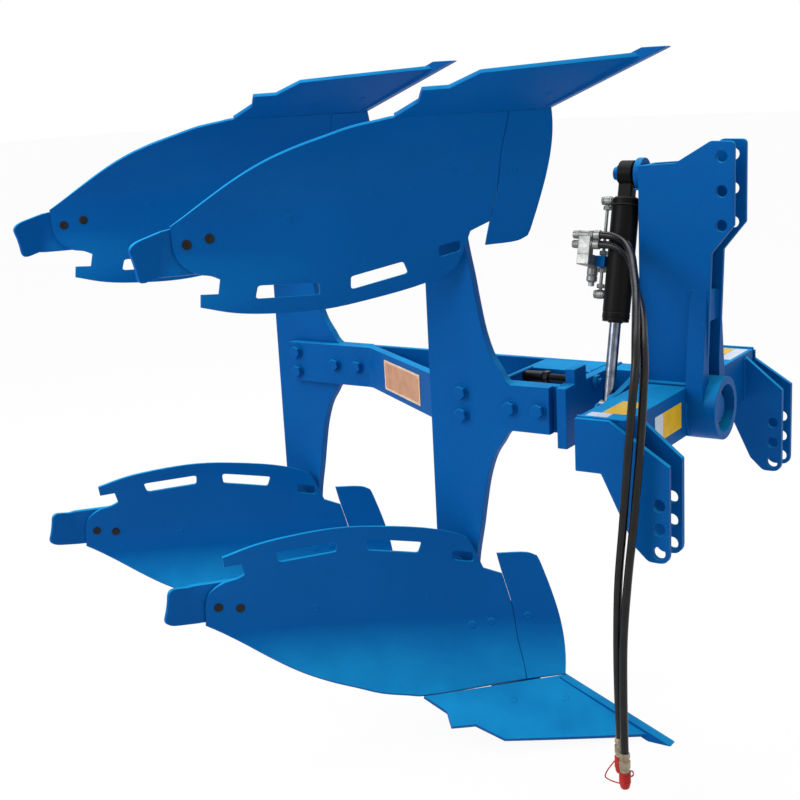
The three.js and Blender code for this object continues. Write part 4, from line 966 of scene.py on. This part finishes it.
joint = [(0.108, 0.001), (0.168, 0.2), (0.199, 0.413), (0.224, 0.594)]  # the line between shin and board
board = {"thickness": 8, "edge": 0.9, "spacing": 15, "sharp": 38, "slotCorner": 6,
         "shares": [(0.275, 0.639), (0.307, 0.8), (0.322, 0.844), (0.398, 0.909), (0.53, 0.97), (0.635, 1),
                    (0.739, 0.995), (0.824, 0.972), (0.905, 0.923), (0.912, 0.86), (0.873, 0.865), (0.877, 0.79),
                    (0.899, 0.769), (0.933, 0.753), (0.972, 0.7), (0.993, 0.625), (1, 0.501), (0.918, 0.389),
                    (0.832, 0.287), (0.741, 0.2), (0.649, 0.133), (0.561, 0.082), (0.488, 0.042),
                    (0.417, 0.016), (0.37, 0.001)],
         "slots": [[(0.789, 0.907), (0.644, 0.918), (0.65, 0.855), (0.789, 0.839)],
                   [(0.574, 0.907), (0.436, 0.844), (0.448, 0.779), (0.575, 0.837)],
                   [(0.359, 0.772), (0.303, 0.744), (0.302, 0.685), (0.359, 0.711)]]}
shin = {"gap": 0.0012, "spacing": 12,
        "shares": [(0.237, 0.723), (0.15, 0.71), (0.122, 0.685), (0.112, 0.645), (0, 0.001)]}
slots = [rounded([(*corner, board["slotCorner"]) for corner in onWall(slot)], 3) for slot in board["slots"]]
boardEdge = softLoop(onWall(joint + board["shares"]), board["sharp"])
shinEdge = softLoop(onWall(shin["shares"] + [(a - shin["gap"], b) for a, b in joint]), board["sharp"])
onSurface = behind(wallPoint, 0)
boardMesh = plate(boardEdge, onSurface, board["thickness"], board["edge"], slots, board["spacing"])
shinMesh = plate(shinEdge, onSurface, board["thickness"], board["edge"], (), shin["spacing"])

# The tail follows the wall up to its bend and then runs straight on, its lower edge further
tail = {"bend": 686.4, "way": (-0.2, -0.95, 0.22), "slant": 3.5, "level": 0.75, "gap": 8.3, "thickness": 10,
        "edge": 1.6, "spacing": 10,
        "outline": [(604.5, 221, 8), (748, 221, 24), (748, 321.7, 24), (604.5, 321.7, 8)]}


def tailPoint(u, v):
    run = max(0, u - tail["bend"]) * (1 + tail["slant"] * (tail["level"] - v / wall["height"]))
    return wallPoint(min(u, tail["bend"]), v) + Vector(tail["way"]) * run


tailMesh = plate(rounded(tail["outline"], 6), behind(tailPoint, tail["gap"]),
                 tail["thickness"], tail["edge"], (), tail["spacing"])

# Share: a blade ruled between four corners, the point before it and the landside bar behind
blade = {"tip": (0, 5, 0), "top": (298, 13, 122.5), "wing": (342, 236, 37), "heel": (544, 274, 122.5),
         "length": 548, "thickness": 12, "spacing": 14, "leastRise": 60, "tries": 12,
         "shares": [(0.095, 0.147), (0.624, 0.302), (0.754, 0.539), (0.836, 0.547), (0.878, 0.751), (0.993, 1),
                    (0.544, 1)]}
pointBar = {"wide": 24, "thickness": 28, "away": 25, "gap": 0.3, "corner": 2}
landside = {"thickness": 12, "away": 9,
            "outline": [(113.2, 20, 2), (271.4, 85, 3), (450, 85, 4), (450, 42, 4)]}
bladeTip, bladeTop, bladeWing, bladeHeel = (Vector(blade[key]) for key in ("tip", "top", "wing", "heel"))


def bladePoint(back, height):  # closes in on the place on the blade that has this back and this height
    a, b = back / bladeHeel.x, height / bladeHeel.z
    for step in range(blade["tries"]):
        low = bladeTip.lerp(bladeWing, a)
        high = bladeTop.lerp(bladeHeel, a)
        now = low.lerp(high, b)
        b += (height - now.z) / max(blade["leastRise"], high.z - low.z)
        a += (back - now.x) / ((bladeWing.x - bladeTip.x) * (1 - b) + (bladeHeel.x - bladeTop.x) * b)
    return behindTip(now.x, now.y, now.z)


def upright(away):  # a place function for a bar that stands along the furrow
    return lambda u, v, w: behindTip(u, away - w, v)


bladeEdge = [(a * blade["length"], b * bladeHeel.z) for a, b in blade["shares"]]
bladeMesh = plate(bladeEdge, behind(bladePoint, 0), blade["thickness"], spacing=blade["spacing"])
slant = math.atan2(bladeTop.z, bladeTop.x)
wide, pointTop = pointBar["wide"], bladeTop.z - pointBar["gap"]
pointEdge = [(0, 0), (wide / math.sin(slant), 0),
             (bladeTop.x + wide * math.sin(slant), pointTop - wide * math.cos(slant)), (bladeTop.x, pointTop)]
pointMesh = plate(rounded([(*corner, pointBar["corner"]) for corner in pointEdge], 2),
                  upright(pointBar["away"]), pointBar["thickness"])
sideMesh = plate(rounded(landside["outline"], 3), upright(landside["away"]), landside["thickness"])

# Plough bolts: a round head set into the surface, and a nut behind it
ploughBolt = {"sunk": 3, "radius": 10.5, "proud": 0.8, "tailRadius": 11.5, "tailProud": 2, "nut": 12,
              "crown": [(1, 2.6), (0.8, 3.2), (0.36, 3.5), (0.32, 2.8)], "tailNuts": 18.4, "boardNuts": 20.5,
              "tail": [(0.965, 0.601), (0.915, 0.578)], "board": [(0.734, 0.51), (0.307, 0.303), (0.253, 0.31)],
              "shin": [(0.149, 0.324)], "blade": [(367, 97.3), (267, 89)]}


def flushBolt(point, u, v, radius, proud):
    place = behind(point, 0)
    front = place(u, v, 0)
    outward = (front - place(u, v, 10)).normalized()
    crown = [(radius * share, height + proud) for share, height in ploughBolt["crown"]]
    profile = [(0, 0), (radius, 0), *crown, (0, crown[-1][1])]
    return turning(profile, along(front - outward * ploughBolt["sunk"], outward), 28, 0.4)


def backNuts(bolts, depth):
    place = behind(wallPoint, 0)
    return [mesh for u, v in bolts
            for mesh in nut(place(u, v, depth), place(u, v, depth) - place(u, v, 0), ploughBolt["nut"])]


tailBolts = onWall(ploughBolt["tail"])
wallBolts = onWall(ploughBolt["board"] + ploughBolt["shin"])
blackHeads = [flushBolt(wallPoint, u, v, ploughBolt["tailRadius"], ploughBolt["tailProud"])
              for u, v in tailBolts]
blueHeads = [flushBolt(wallPoint, u, v, ploughBolt["radius"], ploughBolt["proud"]) for u, v in wallBolts]
blueHeads += [flushBolt(bladePoint, u, v, ploughBolt["radius"], ploughBolt["proud"])
              for u, v in ploughBolt["blade"]]
allNuts = backNuts(tailBolts, ploughBolt["tailNuts"]) + backNuts(wallBolts, ploughBolt["boardNuts"])
bodyPieces = (("board", [boardMesh], "mouldboard"), ("shin_plate", [shinMesh], "shin"),
              ("share_blade", [bladeMesh, pointMesh], "share"), ("landside_bar", [sideMesh], "landside"),
              ("tail", [tailMesh], "tail_piece"))
for word, shift in furrows.items():
    for level, flip in (("lower", False), ("upper", True)):
        where = f"{word}_{level}"
        for name, meshes, node in bodyPieces:
            piece(f"{name}_{where}", moved(meshes, shift, flip),
                  blueEnamel, "turnover_frame", [f"{node}_{where}"])
        piece(f"tail_bolts_{where}", moved(blackHeads, shift, flip),
              blackOxide, "turnover_frame", ())
        piece(f"plough_bolts_{where}", moved(blueHeads, shift, flip), blueEnamel, "turnover_frame")
        piece(f"plough_nuts_{where}", moved(allNuts, shift, flip), zincPlate, "turnover_frame", ())
        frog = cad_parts[f"frog_{where}"]
        frog.data.materials.clear()
        frog.data.materials.append(blueEnamel)
print("bodies made")

# Two-tone patches on the cross tubes: the face that each lies on, its corners and its film
patch = {"thickness": 0.5, "edge": 0.1, "corner": 2, "front": overX(-74.6), "top": overZ(57.6),
         "places": {"front_white": ("front", (-252, -30, -207, 30), whiteFilm),
                    "front_yellow": ("front", (-207, -30, -99, 30), yellowFilm),
                    "near_white": ("top", (-178, -393, -128, -352), whiteFilm),
                    "near_yellow": ("top", (-155, -351, -100, -238), yellowFilm),
                    "far_white": ("top", (-117, 252, -84, 386), whiteFilm),
                    "far_yellow": ("top", (-162, 252, -118, 386), yellowFilm)}}
for name, (face, corners, film) in patch["places"].items():
    outline = rectangle(*corners, patch["corner"], 3)
    piece(f"patch_{name}", [plate(outline, patch[face], patch["thickness"], patch["edge"])],
          film, "headstock")

# The bare nameplate on the slanting part of the beam
nameplate = {"from": 0.22, "to": 0.76, "half": 41, "corner": 2, "lift": 0.2, "thickness": 1.2, "edge": 0.3,
             "border": 6, "borderLift": 1.2, "borderThickness": 0.8, "rivet": (3, 2.4), "rivetIn": 9}
slantFoot, slantHead = Vector(beam["near"][1]), Vector(beam["near"][2])
slantWay = (slantHead - slantFoot).normalized()
outwards = Vector((-slantWay.y, slantWay.x))
plateStart = slantFoot.lerp(slantHead, nameplate["from"])
plateLength = (slantHead - slantFoot).length * (nameplate["to"] - nameplate["from"])


def onBeam(depth):
    return lambda u, v, w: Vector((*(plateStart + slantWay * u + outwards * (depth + w)), v))


half, border, rivetIn = nameplate["half"], nameplate["border"], nameplate["rivetIn"]
outline = rectangle(0, -half, plateLength, half, nameplate["corner"], 3)
window = rectangle(border, border - half, plateLength - border, half - border, nameplate["corner"] / 2, 3)
borderPlace = onBeam(nameplate["borderLift"])
rivetPlaces = [along(borderPlace(u, v, 0), (*outwards, 0))
               for u in (rivetIn, plateLength - rivetIn) for v in (rivetIn - half, half - rivetIn)]
piece("nameplate", [plate(outline, onBeam(nameplate["lift"]), nameplate["thickness"], nameplate["edge"])],
      copperPlate, "turnover_frame", ())
piece("nameplate_border", [plate(outline, borderPlace, nameplate["borderThickness"],
                                 nameplate["edge"], [window])],
      copperBorder, "turnover_frame", ())
piece("nameplate_rivets", [disc(*nameplate["rivet"], place, 1, 16) for place in rivetPlaces],
      copperBorder, "turnover_frame", ())
print("patches and nameplate made")

# Floor, backdrop and light
studio = {"floor": 40, "floorTone": 0.93, "floorGlow": 0.94, "floorRoughness": 0.9, "daylight": 0.54,
          "aim": (0, 0, 0.8),
          "lamps": {"key": ((-1.9, -3.5, 3.2), 3.0, 150), "fill": ((4.2, -1.0, 2.2), 2.5, 14),
                    "top": ((-0.5, 0.8, 4.5), 3.5, 130)}}
white = (1, 1, 1, 1)


def seen(coat):  # 1 for rays that show the backdrop itself, 0 for those that light the plough
    toCamera, inGloss, throughGlass = (coat.node("ShaderNodeLightPath", output=f"Is {kind} Ray")
                                       for kind in ("Camera", "Glossy", "Transmission"))
    clamped = {"operation": "ADD", "use_clamp": True}
    return coat.node("ShaderNodeMath", clamped, {0: toCamera + inGloss, 1: throughGlass})


tone = studio["floorTone"]
floorCoat = Coat("paleFloor", Roughness=studio["floorRoughness"], Base_Color=(tone, tone, tone, 1))
glow = floorCoat.node("ShaderNodeEmission", sockets={"Color": white, "Strength": 1})
shown = floorCoat.node("ShaderNodeMixShader", sockets={
    0: seen(floorCoat) * studio["floorGlow"], 1: Link(floorCoat, floorCoat.surface.outputs[0]), 2: glow})
floorCoat.feed(floorCoat.tree.nodes["Material Output"].inputs["Surface"], shown)
floorCorners = [(x * studio["floor"], y * studio["floor"], 0)
                for x, y in ((-1, -1), (1, -1), (1, 1), (-1, 1))]
floorMesh = bpy.data.meshes.new("floor")
floorMesh.from_pydata(floorCorners, [], [(0, 1, 2, 3)])
floorMesh.materials.append(floorCoat.material)
floor = bpy.data.objects.new("floor", floorMesh)
bpy.context.collection.objects.link(floor)


class Sky(Coat):  # the world, wired the same way
    def __init__(self, daylight):
        world = bpy.data.worlds.new("world")
        bpy.context.scene.world = world
        world.use_nodes = True
        self.tree = world.node_tree
        backdrop = self.tree.nodes["Background"]
        backdrop.inputs["Color"].default_value = white
        self.feed(backdrop.inputs["Strength"], seen(self) * (1 - daylight) + daylight)


Sky(studio["daylight"])
for name, (place, size, power) in studio["lamps"].items():
    lampData = bpy.data.lights.new(name, "AREA")
    lampData.size = size
    lampData.energy = power
    lamp = bpy.data.objects.new(name, lampData)
    bpy.context.collection.objects.link(lamp)
    lamp.location = place
    lamp.rotation_euler = (Vector(studio["aim"]) - Vector(place)).to_track_quat("-Z", "Y").to_euler()

bpy.context.scene.view_settings.view_transform = "Standard"
print("scene done")
